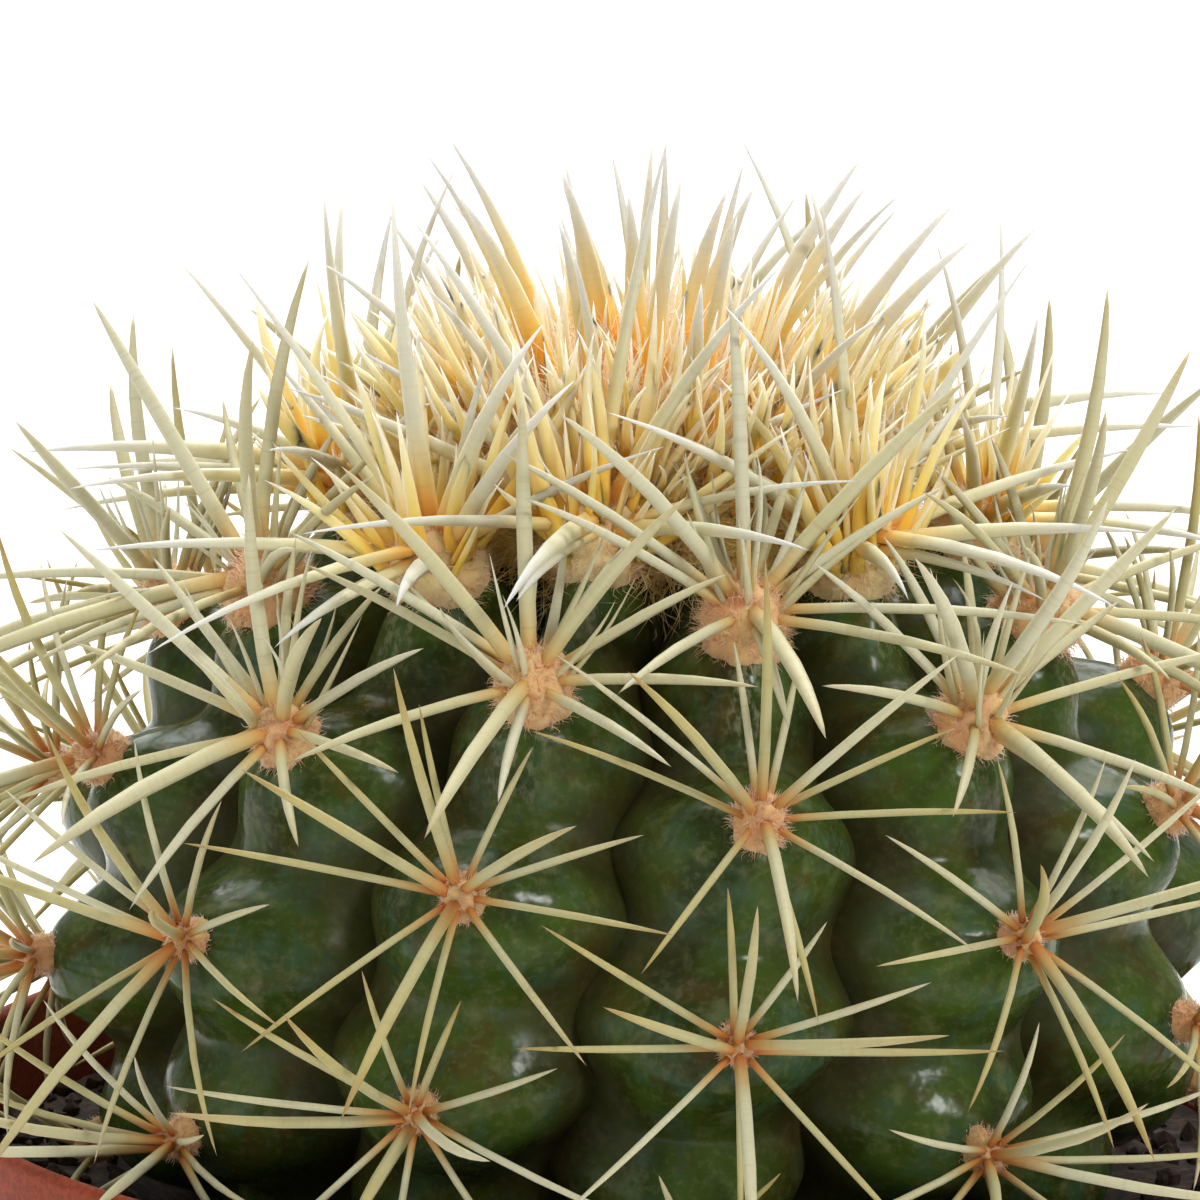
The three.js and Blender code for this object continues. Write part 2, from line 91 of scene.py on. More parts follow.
def ease(low: float, high: float, value: float) -> float:
    """A share that eases from 0 at one value to 1 at another.

    Args:
        low: The value where the share is 0.
        high: The value where it is 1.
        value: The value to place.

    Returns:
        The share, from 0 to 1.
    """
    share = min(1.0, max(0.0, (value - low) / (high - low)))
    return share * share * (3 - 2 * share)


def mix(low: float, high: float, share: float) -> float:
    """The number at a share of the way from one to another."""
    return low + (high - low) * share


# ---------------------------------------------------------------- shaders


class Slot(Enum):
    """The finishes that the part's record names."""

    PLASTIC = "pot_plastic"
    SOIL = "soil"
    SKIN = "skin"
    SPINE = "spine"
    WOOL = "wool"


class Value:
    """A number, colour or vector of a shader, which can stand in a sum."""

    def __init__(self, shader: "Shader", socket: bpy.types.NodeSocket) -> None:
        """Wraps a socket.

        Args:
            shader: The shader that it belongs to.
            socket: The output socket that gives the value.
        """
        self.shader = shader
        self.socket = socket

    def _maths(self, operation: str, first: "Value | float", second: "Value | float") -> "Value":
        """A Math node on two values."""
        return self.shader.node("ShaderNodeMath", {"operation": operation}, {0: first, 1: second})

    def __add__(self, other: "Value | float") -> "Value":
        """The sum."""
        return self._maths("ADD", self, other)

    def __radd__(self, other: float) -> "Value":
        """The sum, the other way round."""
        return self._maths("ADD", other, self)

    def __mul__(self, other: "Value | float") -> "Value":
        """The product."""
        return self._maths("MULTIPLY", self, other)

    def __rmul__(self, other: float) -> "Value":
        """The product, the other way round."""
        return self._maths("MULTIPLY", other, self)

    def within(self, low: float, high: float) -> "Value":
        """A share that eases from 0 at one number to 1 at another."""
        numbers = {"Value": self, "From Min": low, "From Max": high}
        return self.shader.node("ShaderNodeMapRange", {"interpolation_type": "SMOOTHSTEP"}, numbers)


class Shader:
    """The nodes of one material."""

    def __init__(self, name: str) -> None:
        """Starts a material with a plain principled surface.

        Args:
            name: The material's name.
        """
        self.material = bpy.data.materials.new(name)
        self.material.use_nodes = True
        self.tree = self.material.node_tree
        self.tree.nodes.clear()
        self.place = self.node("ShaderNodeTexCoord", output="Object")

    def node(
        self,
        kind: str,
        settings: dict[str, object] | None = None,
        inputs: dict[str | int, object] | None = None,
        output: str | int = 0,
    ) -> Value:
        """Adds a node, gives it its settings and then its inputs.

        Args:
            kind: The node's type.
            settings: Its own settings. "stops" holds a colour ramp's stops as (place, colour).
            inputs: A value or a link for each socket, by name or number.
            output: The output that is wanted.

        Returns:
            That output.
        """
        node = self.tree.nodes.new(kind)
        for key, setting in (settings or {}).items():
            if key == "stops":
                self._set_stops(node.color_ramp, setting)
            else:
                setattr(node, key, setting)
        for key, value in (inputs or {}).items():
            if isinstance(value, Value):
                self.tree.links.new(value.socket, node.inputs[key])
            else:
                node.inputs[key].default_value = value
        return Value(self, node.outputs[output])

    @staticmethod
    def _set_stops(ramp: bpy.types.ColorRamp, stops: list[tuple[float, Colour]]) -> None:
        """Gives a colour ramp its stops.

        Args:
            ramp: The ramp.
            stops: Its places and colours, from the first to the last.
        """
        while len(ramp.elements) < len(stops):
            ramp.elements.new(1.0)
        for element, (place, colour) in zip(ramp.elements, stops):
            element.position = place
            element.color = colour

    def stretched(self, x: float, y: float, z: float) -> Value:
        """The place on the piece, with each direction scaled."""
        return self.node("ShaderNodeMapping", {}, {"Vector": self.place, "Scale": (x, y, z)})

    def noise(self, size: float, detail: float = 2.0, place: Value | None = None) -> Value:
        """A cloudy pattern with a mean of a half.

        Args:
            size: How far apart its clouds are.
            detail: How many finer layers it has.
            place: The coordinates it is read at, or None for the place on the piece.

        Returns:
            The pattern, from 0 to 1.
        """
        inputs = {"Vector": place or self.place, "Scale": 1 / size, "Detail": detail, "Roughness": 0.6}
        return self.node("ShaderNodeTexNoise", {}, inputs)

    def attribute(self, name: str) -> Value:
        """A number that the piece's mesh holds at each point."""
        return self.node("ShaderNodeAttribute", {"attribute_name": name}, {}, "Fac")

    def part(self, vector: Value, axis: str) -> Value:
        """One of the three numbers of a vector."""
        return self.node("ShaderNodeSeparateXYZ", {}, {0: vector}, axis)

    def growth(self) -> tuple[Value, Value]:
        """A strand's own number, from 0 to 1, and the share of the way along it."""
        spread = self.node("ShaderNodeUVMap", {"uv_map": Strand.UV_MAP})
        return self.part(spread, "X"), self.part(spread, "Y")

    def rings(self, own: Value, along: Value, count: float) -> Value:
        """Uneven rings along a strand, its own on each.

        Args:
            own: The strand's own number.
            along: The share of the way along it.
            count: How many rings it has.

        Returns:
            The pattern, from 0 to 1.
        """
        place = self.node("ShaderNodeCombineXYZ", {}, {"X": own * 90.0, "Y": along * count})
        return self.node("ShaderNodeTexNoise", {}, {"Vector": place, "Scale": 1.0, "Detail": 2.0})

    def ramp(self, share: Value, stops: list[tuple[float, Colour]]) -> Value:
        """The colour of a ramp at a share of the way along it."""
        return self.node("ShaderNodeValToRGB", {"stops": stops}, {0: share})

    def blend(self, share: Value, first: Value | Colour, second: Value | Colour) -> Value:
        """Two colours mixed.

        Args:
            share: How much of the second there is.
            first: The colour underneath.
            second: The colour on top.

        Returns:
            The mixed colour.
        """
        return self.node("ShaderNodeMix", {"data_type": "RGBA"}, {0: share, 6: first, 7: second}, 2)

    def relief(self, height: Value, depth: float, under: Value | None = None) -> Value:
        """A bump.

        Args:
            height: The pattern, from 0 to 1.
            depth: How deep it is.
            under: A coarser bump that it lies on.

        Returns:
            The normal.
        """
        inputs = {"Height": height, "Distance": depth, "Strength": 1.0}
        if under:
            inputs["Normal"] = under
        return self.node("ShaderNodeBump", {}, inputs)

    def finish(self, **inputs: object) -> bpy.types.Material:
        """Closes the shader with a principled surface.

        Args:
            inputs: What its sockets get, with their names in lower case and joined by underscores.

        Returns:
            The material.
        """
        surface = self.node("ShaderNodeBsdfPrincipled")
        sockets = surface.socket.node.inputs
        names = {socket.name.lower().replace(" ", "_"): socket for socket in sockets}
        for name, value in inputs.items():
            if isinstance(value, Value):
                self.tree.links.new(value.socket, names[name])
            else:
                names[name].default_value = value
        output = self.tree.nodes.new("ShaderNodeOutputMaterial")
        self.tree.links.new(surface.socket, output.inputs["Surface"])
        return self.material


# ---------------------------------------------------------------- finishes


@dataclass(frozen=True)
class Mottle:
    """Clouds of another colour on a finish."""

    colour: Colour
    size: float
    detail: float
    edges: tuple[float, float]
    strength: float = 1.0

    def over(self, shader: Shader, under: Value | Colour) -> Value:
        """Lays the clouds over a colour.

        Args:
            shader: The shader that they belong to.
            under: The colour underneath.

        Returns:
            The mottled colour.
        """
        clouds = shader.noise(self.size, self.detail).within(*self.edges)
        return shader.blend(clouds * self.strength, under, self.colour)


@dataclass(frozen=True)
class WaxySkin:
    """Dark green glossy skin, mottled, its grooves darkened to brown, partly their own colour and partly
    painted shade, with pale patches that are partly wax bloom and partly a painted sheen, and scurfy under
    the young cushions.
    """

    deep: Colour = paint(42, 54, 16)
    fresh: Mottle = Mottle(paint(60, 80, 24), 5.5 * MM, 2, (0.36, 0.6))
    brown: Mottle = Mottle(paint(76, 58, 22), 3.6 * MM, 3, (0.5, 0.7), 0.6)
    blue: Mottle = Mottle(paint(56, 82, 58), 2.6 * MM, 3, (0.48, 0.68), 0.7)
    pale: Mottle = Mottle(paint(102, 108, 68), 0.5 * MM, 3, (0.48, 0.7), 0.3)
    # Pale grey-green patches, partly wax bloom and partly a painted sheen that stands in for hazy
    # reflection on the skin.
    bloom_and_painted_sheen: Mottle = Mottle(paint(102, 108, 68), 2.1 * MM, 4, (0.52, 0.72), 0.6)
    # The groove colour is partly the skin's own brown and partly painted shade, darkening the grooves where
    # shade falls.
    groove: Colour = paint(50, 38, 16)
    scurf: Colour = paint(140, 138, 112)
    scurf_size: float = 0.45 * MM
    swell_size: float = 1.7 * MM
    swell_depth: float = 0.07 * MM
    grain_depth: float = 0.004 * MM
    slot: Slot = Slot.SKIN

    def material(self) -> bpy.types.Material:
        """Makes the material.

        Returns:
            The material.
        """
        shader = Shader("waxy_skin")
        groove = shader.attribute(Body.GROOVE)
        colour = self.deep
        for mottle in (self.fresh, self.brown, self.blue, self.pale, self.bloom_and_painted_sheen):
            colour = mottle.over(shader, colour)
        tall = shader.stretched(1.0, 1.0, 0.5)
        scurf = shader.noise(self.scurf_size, 2, tall).within(0.42, 0.7)
        scurf = scurf * shader.attribute(Body.SCURF)
        colour = shader.blend(scurf * 0.55, colour, self.scurf)
        # Painted shade: the grooves are darkened towards the groove colour, over the skin's own brown
        # there.
        colour = shader.blend(groove.within(0.35, 0.9) * 0.65, colour, self.groove)
        grains = shader.noise(self.pale.size, self.pale.detail)
        swell = shader.relief(shader.noise(self.swell_size), self.swell_depth)
        normal = shader.relief(grains, self.grain_depth, swell)
        roughness = 0.15 + grains * 0.08 + groove.within(0.5, 0.95) * 0.4 + scurf * 0.3
        return shader.finish(base_color=colour, roughness=roughness, normal=normal, specular_ior_level=0.15)


class Age(Enum):
    """How long ago a cushion left the crown."""

    OLD = "old"
    MIDDLE = "middle"
    YOUNG = "young"


@dataclass(frozen=True)
class Horn:
    """Straw-coloured horn with fine rings, orange where it leaves the wool."""

    name: str
    root: Colour
    neck: Colour
    shaft: Colour
    upper: Colour
    tip: Colour
    pale: Colour
    glow: float
    light: float = 0.25
    ringed: float = 0.2
    gloss: float = 0.25
    neck_after: float = 0.07
    shaft_after: float = 0.2
    upper_from: float = 0.74
    ring: Colour = paint(150, 126, 70)
    ring_count: float = 60.0
    slot: Slot = Slot.SPINE

    def material(self) -> bpy.types.Material:
        """Makes the material.

        Returns:
            The material.
        """
        shader = Shader(self.name)
        own, along = shader.growth()
        stops = [
            (0.0, self.root),
            (self.glow, self.root),
            (self.glow + self.neck_after, self.neck),
            (self.glow + self.shaft_after, self.shaft),
            (self.upper_from, self.upper),
            (1.0, self.tip),
        ]
        colour = shader.ramp(along, stops)
        clear = along.within(self.glow + 0.05, self.glow + 0.25)
        colour = shader.blend(own.within(0.3, 1.0) * 0.6 * clear, colour, self.pale)
        rings = shader.rings(own, along, self.ring_count)
        colour = shader.blend(rings.within(0.5, 0.75) * self.ringed, colour, self.ring)
        streaks = shader.noise(0.5 * MM, 3)
        colour = shader.blend(streaks.within(0.5, 0.8) * 0.3, colour, self.neck)
        normal = shader.relief(rings, 0.02 * MM)
        return shader.finish(
            base_color=colour,
            roughness=0.5 + streaks * 0.14,
            normal=normal,
            specular_ior_level=self.gloss,
            subsurface_weight=self.light,
            subsurface_radius=(1.0, 0.93, 0.8),
            subsurface_scale=1.3 * MM,
        )


@dataclass(frozen=True)
class Wool:
    """Felted plant wool."""

    name: str
    root: Colour
    tip: Colour
    blush: Colour
    patch: float = 1.6 * MM
    slot: Slot = Slot.WOOL

    def material(self) -> bpy.types.Material:
        """Makes the material.

        Returns:
            The material.
        """
        shader = Shader(self.name)
        own, along = shader.growth()
        colour = shader.blend(along, self.root, self.tip)
        patches = shader.noise(self.patch, 3)
        colour = shader.blend(patches.within(0.44, 0.62) * 0.7, colour, self.blush)
        colour = shader.blend(own.within(0.4, 1.0) * 0.6, colour, self.tip)
        normal = shader.relief(shader.noise(0.2 * MM, 3), 0.05 * MM)
        return shader.finish(
            base_color=colour,
            roughness=1.0,
            normal=normal,
            specular_ior_level=0.1,
            sheen_weight=0.5,
            sheen_roughness=0.5,
            sheen_tint=(1.0, 0.85, 0.66, 1.0),
            subsurface_weight=0.7,
            subsurface_radius=(1.0, 0.88, 0.6),
            subsurface_scale=1.6 * MM,
        )


@dataclass(frozen=True)
class MouldedPlastic:
    """Red-brown moulded plastic with a fine speckle and a little dust."""

    base: Colour = paint(146, 64, 35)
    speckle: Mottle = Mottle(paint(122, 51, 28), 0.42 * MM, 3, (0.4, 0.62))
    fleck: Mottle = Mottle(paint(160, 84, 54), 0.42 * MM, 3, (0.6, 0.75), 0.6)
    dust: Mottle = Mottle(paint(160, 84, 54), 9 * MM, 3, (0.45, 0.75), 0.25)
    grain_size: float = 0.5 * MM
    grain_depth: float = 0.02 * MM
    slot: Slot = Slot.PLASTIC

    def material(self) -> bpy.types.Material:
        """Makes the material.

        Returns:
            The material.
        """
        shader = Shader("moulded_plastic")
        colour = self.base
        for mottle in (self.speckle, self.fleck, self.dust):
            colour = mottle.over(shader, colour)
        normal = shader.relief(shader.noise(self.grain_size, 3), self.grain_depth)
        roughness = 0.48 + shader.noise(self.dust.size, self.dust.detail) * 0.15
        return shader.finish(base_color=colour, roughness=roughness, normal=normal, specular_ior_level=0.2)


@dataclass(frozen=True)
class PottingSoil:
    """Dark peaty soil with lighter fibres."""

    dark: Colour = paint(34, 24, 17)
    brown: Colour = paint(72, 50, 34)
    fibre: Colour = paint(112, 84, 56)
    slot: Slot = Slot.SOIL

    def material(self) -> bpy.types.Material:
        """Makes the material.

        Returns:
            The material.
        """
        shader = Shader("potting_soil")
        grains = shader.noise(0.9 * MM, 5)
        colour = shader.blend(grains.within(0.4, 0.7), self.dark, self.brown)
        fibres = shader.noise(0.6 * MM, 2, shader.stretched(1.0, 0.25, 1.0))
        colour = shader.blend(fibres.within(0.66, 0.74) * 0.6, colour, self.fibre)
        normal = shader.relief(grains, 0.25 * MM)
        return shader.finish(base_color=colour, roughness=0.95, normal=normal)


Finish = WaxySkin | Horn | Wool | MouldedPlastic | PottingSoil

HORNS = {
    Age.OLD: Horn(
        "old_horn",
        root=paint(184, 116, 54),
        neck=paint(182, 150, 92),
        shaft=paint(176, 171, 126),
        upper=paint(172, 160, 104),
        tip=paint(136, 104, 48),
        pale=paint(204, 203, 178),
        glow=0.045,
    ),
    Age.MIDDLE: Horn(
        "middle_horn",
        root=paint(204, 138, 66),
        neck=paint(204, 176, 114),
        shaft=paint(196, 190, 148),
        upper=paint(190, 184, 148),
        tip=paint(168, 154, 112),
        pale=paint(204, 203, 182),
        glow=0.05,
    ),
    Age.YOUNG: Horn(
        "young_horn",
        root=paint(240, 184, 98),
        neck=paint(228, 202, 136),
        shaft=paint(208, 202, 160),
        upper=paint(186, 186, 176),
        tip=paint(164, 166, 168),
        pale=paint(196, 196, 188),
        glow=0.1,
        light=0.8,
        ringed=0.1,
        gloss=0.1,
    ),
}
CROWN_HORN = Horn(
    "crown_horn",
    root=paint(250, 184, 74),
    neck=paint(242, 200, 108),
    shaft=paint(218, 200, 148),
    upper=paint(184, 184, 176),
    tip=paint(160, 162, 166),
    pale=paint(194, 194, 188),
    glow=0.22,
    light=0.8,
    ringed=0.1,
    gloss=0.1,
)
BRISTLE_HORN = Horn(
    "bristle_horn",
    root=paint(252, 192, 84),
    neck=paint(252, 206, 112),
    shaft=paint(244, 212, 142),
    upper=paint(226, 210, 162),
    tip=paint(206, 200, 178),
    pale=paint(202, 202, 196),
    glow=0.26,
    light=0.95,
    ringed=0.05,
    gloss=0.08,
)

WOOLS = {
    Age.OLD: Wool("old_wool", paint(216, 148, 78), paint(244, 200, 142), paint(232, 158, 110)),
    Age.MIDDLE: Wool("middle_wool", paint(240, 170, 98), paint(250, 212, 156), paint(248, 176, 126)),
    Age.YOUNG: Wool("young_wool", paint(253, 200, 124), paint(255, 232, 178), paint(255, 208, 156)),
}
CROWN_WOOL = Wool(
    "crown_wool", paint(253, 196, 68), paint(255, 230, 140), paint(254, 212, 150), patch=4 * MM
)


@cache
def material_of(finish: Finish) -> bpy.types.Material:
    """The material of a finish, made once."""
    return finish.material()


# ---------------------------------------------------------------- the workbench


def pick(*pieces: bpy.types.Object) -> None:
    """Selects some objects alone.

    Args:
        pieces: The objects. The first one becomes the active one.
    """
    bpy.ops.object.select_all(action="DESELECT")
    for piece in pieces:
        piece.select_set(True)
    bpy.context.view_layer.objects.active = pieces[0]


def pick_nothing() -> None:
    """Deselects everything."""
    bpy.ops.object.select_all(action="DESELECT")


def settle(piece: bpy.types.Object) -> None:
    """Applies a piece's place, turn and scale to its mesh."""
    pick(piece)
    bpy.ops.object.transform_apply(location=True, rotation=True, scale=True)


@contextmanager
def editing(piece: bpy.types.Object) -> Iterator[bmesh.types.BMesh]:
    """Opens a piece in edit mode with nothing selected, and closes it again.

    Args:
        piece: The piece.

    Yields:
        Its mesh, for choosing what to select.
    """
    pick(piece)
    bpy.ops.object.mode_set(mode="EDIT")
    bpy.ops.mesh.select_mode(type="VERT")
    bpy.ops.mesh.select_all(action="DESELECT")
    yield bmesh.from_edit_mesh(piece.data)
    bpy.ops.object.mode_set(mode="OBJECT")


def apply_modifier(piece: bpy.types.Object, kind: str, **settings: object) -> None:
    """Gives a piece a modifier and applies it.

    Args:
        piece: The piece.
        kind: The modifier's type.
        settings: The modifier's settings.
    """
    pick(piece)
    modifier = piece.modifiers.new(kind.title(), kind)
    for key, value in settings.items():
        setattr(modifier, key, value)
    bpy.ops.object.modifier_apply(modifier=modifier.name)


def turn_profile(name: str, profile: list[tuple[float, float]], sides: int) -> bpy.types.Object:
    """Raises a round closed shell from a disc, ring by ring.

    Args:
        name: The new piece's name.
        profile: The radius and height of each ring, from the underside's edge on.
        sides: How many sides the rings have.

    Returns:
        The piece. Its last ring is closed by a disc.
    """
    pick_nothing()
    radius, height = profile[0]
    bpy.ops.mesh.primitive_circle_add(
        vertices=sides, radius=radius, fill_type="NGON", location=(0, 0, height)
    )
    piece = bpy.context.object
    piece.name = name
    settle(piece)
    with editing(piece):
        bpy.ops.mesh.select_all(action="SELECT")
        for wide, high in profile[1:]:
            bpy.ops.mesh.extrude_region_move(TRANSFORM_OT_translate={"value": (0, 0, high - height)})
            bpy.ops.transform.resize(value=(wide / radius, wide / radius, 1))
            radius, height = wide, high
    return piece


def points_of(piece: bpy.types.Object) -> np.ndarray:
    """Reads the points of a piece's mesh.

    Args:
        piece: The piece.

    Returns:
        The points, one row each.
    """
    flat = np.empty(len(piece.data.vertices) * 3, np.float32)
    piece.data.vertices.foreach_get("co", flat)
    return flat.reshape(-1, 3).astype(float)


def move_points(piece: bpy.types.Object, points: np.ndarray) -> None:
    """Puts the points of a piece's mesh in new places."""
    piece.data.vertices.foreach_set("co", points.astype(np.float32).ravel())
    piece.data.update()


def smooth_edges(piece: bpy.types.Object, angle: float) -> None:
    """Shades a piece smooth, apart from edges sharper than an angle."""
    pick(piece)
    bpy.ops.object.shade_smooth_by_angle(angle=math.radians(angle))


def join(name: str, *pieces: bpy.types.Object) -> bpy.types.Object:
    """Joins pieces into the first one.

    Args:
        name: The joined piece's name.
        pieces: The pieces.

    Returns:
        The joined piece.
    """
    pick(*pieces)
    bpy.ops.object.join()
    pieces[0].name = name
    return pieces[0]


def deliver(piece: bpy.types.Object, finish: Finish, *nodes: str) -> None:
    """Dresses a finished piece and hands it to the frame.

    Args:
        piece: The piece.
        finish: Its finish.
        nodes: The construction nodes that it stands for.
    """
    piece.data.materials.clear()
    piece.data.materials.append(material_of(finish))
    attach(piece, ROOT_BODY)
    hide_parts(*nodes)
    LOG.info("%s: %d points", piece.name, len(piece.data.vertices))


# The rings of the strands, as shares of their length and of their width.
SLIM = [(0.0, 1.05), (0.05, 1.02), (0.25, 1.03), (0.52, 1.0), (0.68, 0.86), (0.82, 0.62), (0.93, 0.33)]
BROAD = [(0.0, 1.3), (0.12, 1.32), (0.3, 1.22), (0.5, 1.0), (0.68, 0.72), (0.82, 0.44), (0.93, 0.2)]
HAIR = [(0.0, 1.0), (0.55, 0.75)]


@dataclass
class Strand:
    """A tapering strand, modelled once, whose copies are laid along bent axes in one mesh.

    Its rings are pairs of a share of the length and a share of the width.
    """

    UV_MAP = "strand"
    ROLLS = 7  # how many turns the copies' rolls are spread over
    SLANT = np.array([0.31, 0.17, 0.94])  # a way that no axis is likely to have

    name: str
    sides: int
    rings: list[tuple[float, float]]
    thickness: float = 1.0
    smooth: bool = True

    def __post_init__(self) -> None:
        """Models the strand upright, one metre long and about two wide, and keeps its mesh."""
        model = turn_profile(self.name, [(wide, share) for share, wide in self.rings], self.sides)
        top = self.rings[-1][0]
        with editing(model) as mesh:
            for face in mesh.faces:
                if min(corner.co.z for corner in face.verts) > top - MM:
                    face.select_set(True)
            bpy.ops.mesh.extrude_region_move(TRANSFORM_OT_translate={"value": (0, 0, 1 - top)})
            bpy.ops.mesh.merge(type="CENTER")
        self.points = points_of(model) * (1, self.thickness, 1)
        self.faces = [list(face.vertices) for face in model.data.polygons]
        bpy.data.objects.remove(model)

    def lay(self, name: str, axes: np.ndarray, widths: np.ndarray, hues: np.ndarray) -> bpy.types.Object:
        """Lays a copy along each axis, all in one new mesh.

        Args:
            name: The new piece's name.
            axes: For each copy its root, its middle and its tip.
            widths: Each copy's half width.
            hues: A number from 0 to 1 for each copy, for its colour and its roll.

        Returns:
            The new piece.
        """
        roll = 2 * math.pi * self.ROLLS * hues[:, None]
        root, middle, tip = axes[:, 0, None], axes[:, 1, None], axes[:, 2, None]
        pull = 2 * middle - (root + tip) / 2
        share = self.points[None, :, 2, None]
        spine = (1 - share) ** 2 * root + 2 * share * (1 - share) * pull + share**2 * tip
        way = (1 - share) * (pull - root) + share * (tip - pull)
        way /= np.linalg.norm(way, axis=2, keepdims=True)
        beside = np.cross(tip - root, self.SLANT)
        side = np.cross(np.broadcast_to(beside, way.shape), way)
        side /= np.linalg.norm(side, axis=2, keepdims=True)
        up = np.cross(way, side)
        flat = self.points[None, :, 0] * np.cos(roll) - self.points[None, :, 1] * np.sin(roll)
        deep = self.points[None, :, 0] * np.sin(roll) + self.points[None, :, 1] * np.cos(roll)
        across = flat[..., None] * side + deep[..., None] * up
        places = (spine + across * widths[:, None, None]).reshape(-1, 3)

        count = len(self.points)
        copies = range(len(axes))
        faces = [[corner + copy * count for corner in face] for copy in copies for face in self.faces]
        mesh = bpy.data.meshes.new(name)
        mesh.from_pydata(places.tolist(), [], faces)
        corners = np.empty(len(mesh.loops), np.int32)
        mesh.loops.foreach_get("vertex_index", corners)
        spread = np.stack([hues[corners // count], self.points[corners % count, 2]], axis=1)
        layer = mesh.uv_layers.new(name=self.UV_MAP)
        layer.uv.foreach_set("vector", spread.astype(np.float32).ravel())
        if self.smooth:
            mesh.shade_smooth()
        piece = bpy.data.objects.new(name, mesh)
        bpy.context.scene.collection.objects.link(piece)
        return piece


# ---------------------------------------------------------------- the plant's form


@dataclass(frozen=True)
class Form:
    """The plant's form: an oval body with leaning ribs, and the spiral that its cushions sit on.

    Cushions are numbered downwards from the crown, each five ribs further round than the one before,
    so a rib holds every thirteenth and its neighbour to the right those eight numbers on. Places along
    a rib are in steps from one cushion to the next, and places across it in half widths.
    """

    centre: float = 85.2 * MM
    radius: float = 36.3 * MM
    half_height: float = 28 * MM
    valley: float = 5.6 * MM
    notch: float = 3.1 * MM
    crease: float = 0.3 * MM
    crease_start: float = 0.84
    sway: float = 0.036
    rib_roundness: float = 1.8
    notch_sharpness: float = 1.7
    bulge_below: float = 0.08
    room_above: float = 0.42
    ribs_start: tuple[float, float] = (-54, -32)
    ribs_end: tuple[float, float] = (84, 62)
    scurf_latitudes: tuple[float, float] = (16, 40)
    scurf_across: tuple[float, float] = (0.34, 0.1)
    scurf_above: tuple[float, float] = (-0.1, 0.1)
    scurf_below: tuple[float, float] = (0.6, 0.4)
    middle_from: float = 32
    young_from: float = 54
    ribs: int = 13
    ribs_to_next: int = 5
    numbers_per_rib: int = 8
    azimuth_of_zero: float = 12.3
    latitude_of_zero: float = 27.5
    latitude_step: float = 1.95
    twist: float = -0.24
    even_from: int = -14
    first: int = -21
    highest: int = -38

    @property
    def rib_step(self) -> float:
        """The angle from rib to rib."""
        return 360 / self.ribs

    @property
    def crowding_polar(self) -> float:
        """How far from the pole the cushions start to crowd together."""
        return 90 - self.latitude_of_zero + self.latitude_step * self.even_from

    def latitude_of(self, number: float) -> float:
        """The latitude of a cushion.

        Args:
            number: Its number on the spiral.

        Returns:
            Its latitude.
        """
        if number >= self.even_from:
            return self.latitude_of_zero - self.latitude_step * number
        rate = self.latitude_step / self.crowding_polar
        return 90 - self.crowding_polar * math.exp(rate * (number - self.even_from))

    def number_at(self, latitude: float) -> float:
        """The place on the spiral at a latitude.

        Args:
            latitude: The latitude.

        Returns:
            The number there, with its fraction.
        """
        even = (self.latitude_of_zero - latitude) / self.latitude_step
        if even >= self.even_from:
            return even
        polar = max(90 - latitude, 90 - self.latitude_of(self.highest))
        rate = self.latitude_step / self.crowding_polar
        return self.even_from + math.log(polar / self.crowding_polar) / rate

    def envelope(self, azimuth: float, latitude: float, over: float = 0.0) -> Vector:
        """A point of the oval that the ribs' crests touch.

        Args:
            azimuth: Its bearing, to the right of the front.
            latitude: Its latitude on the oval.
            over: How far above the oval it is.

        Returns:
            The point.
        """
        turn, tilt = math.radians(azimuth), math.radians(latitude)
        level = (self.radius + over) * math.cos(tilt)
        height = self.centre + (self.half_height + over) * math.sin(tilt)
        return Vector((level * math.sin(turn), -level * math.cos(turn), height))

    def skin(self, phase: float, latitude: float) -> tuple[Vector, float, float]:
        """A point of the skin.

        Args:
            phase: How many ribs it is round the plant, from the one that holds cushion 0.
            latitude: Its latitude.

        Returns:
            The point, how far down a groove it is and how scurfy, both from 0 to 1.
        """
        number = self.number_at(latitude)
        rib = round(phase)
        across = abs(2 * (phase - rib))
        place = (number - self.numbers_per_rib * rib) / self.ribs
        below = place - math.floor(place + self.room_above)
        crest = 1 - across**self.rib_roundness
        dip = (0.5 - 0.5 * math.cos(2 * math.pi * (below - self.bulge_below))) ** self.notch_sharpness
        crease = self.crease * ease(self.crease_start, 1, across)
        fade = ease(*self.ribs_end, latitude) * ease(*self.ribs_start, latitude)
        depth = fade * (self.valley * (1 - crest) + self.notch * crest * dip + crease)
        azimuth = self.azimuth_of_zero + (phase + fade * self.swayed(phase, number)) * self.rib_step
        azimuth += self.twist * number
        scurf = ease(*self.scurf_latitudes, latitude) * ease(*self.scurf_across, across)
        scurf *= ease(*self.scurf_below, below) * ease(*self.scurf_above, below)
        return self.envelope(azimuth, latitude, -depth), min(1.0, depth / self.valley), scurf

    def swayed(self, phase: float, number: float) -> float:
        """How far the wider parts of the ribs push their grooves aside.

        Args:
            phase: How many ribs it is round the plant.
            number: The number on the spiral.

        Returns:
            The way to the side, in ribs.
        """
        left = math.floor(phase)
        places = [(number - self.numbers_per_rib * rib) / self.ribs for rib in (left, left + 1)]
        fullness = [math.cos(2 * math.pi * place) for place in places]
        return self.sway * (fullness[0] - fullness[1]) * math.sin(math.pi * phase) ** 2

    def age_of(self, number: int) -> Age:
        """The age of a cushion.

        Args:
            number: Its number on the spiral.

        Returns:
            Its age.
        """
        latitude = self.latitude_of(number)
        if latitude > self.young_from:
            return Age.YOUNG
        return Age.MIDDLE if latitude > self.middle_from else Age.OLD

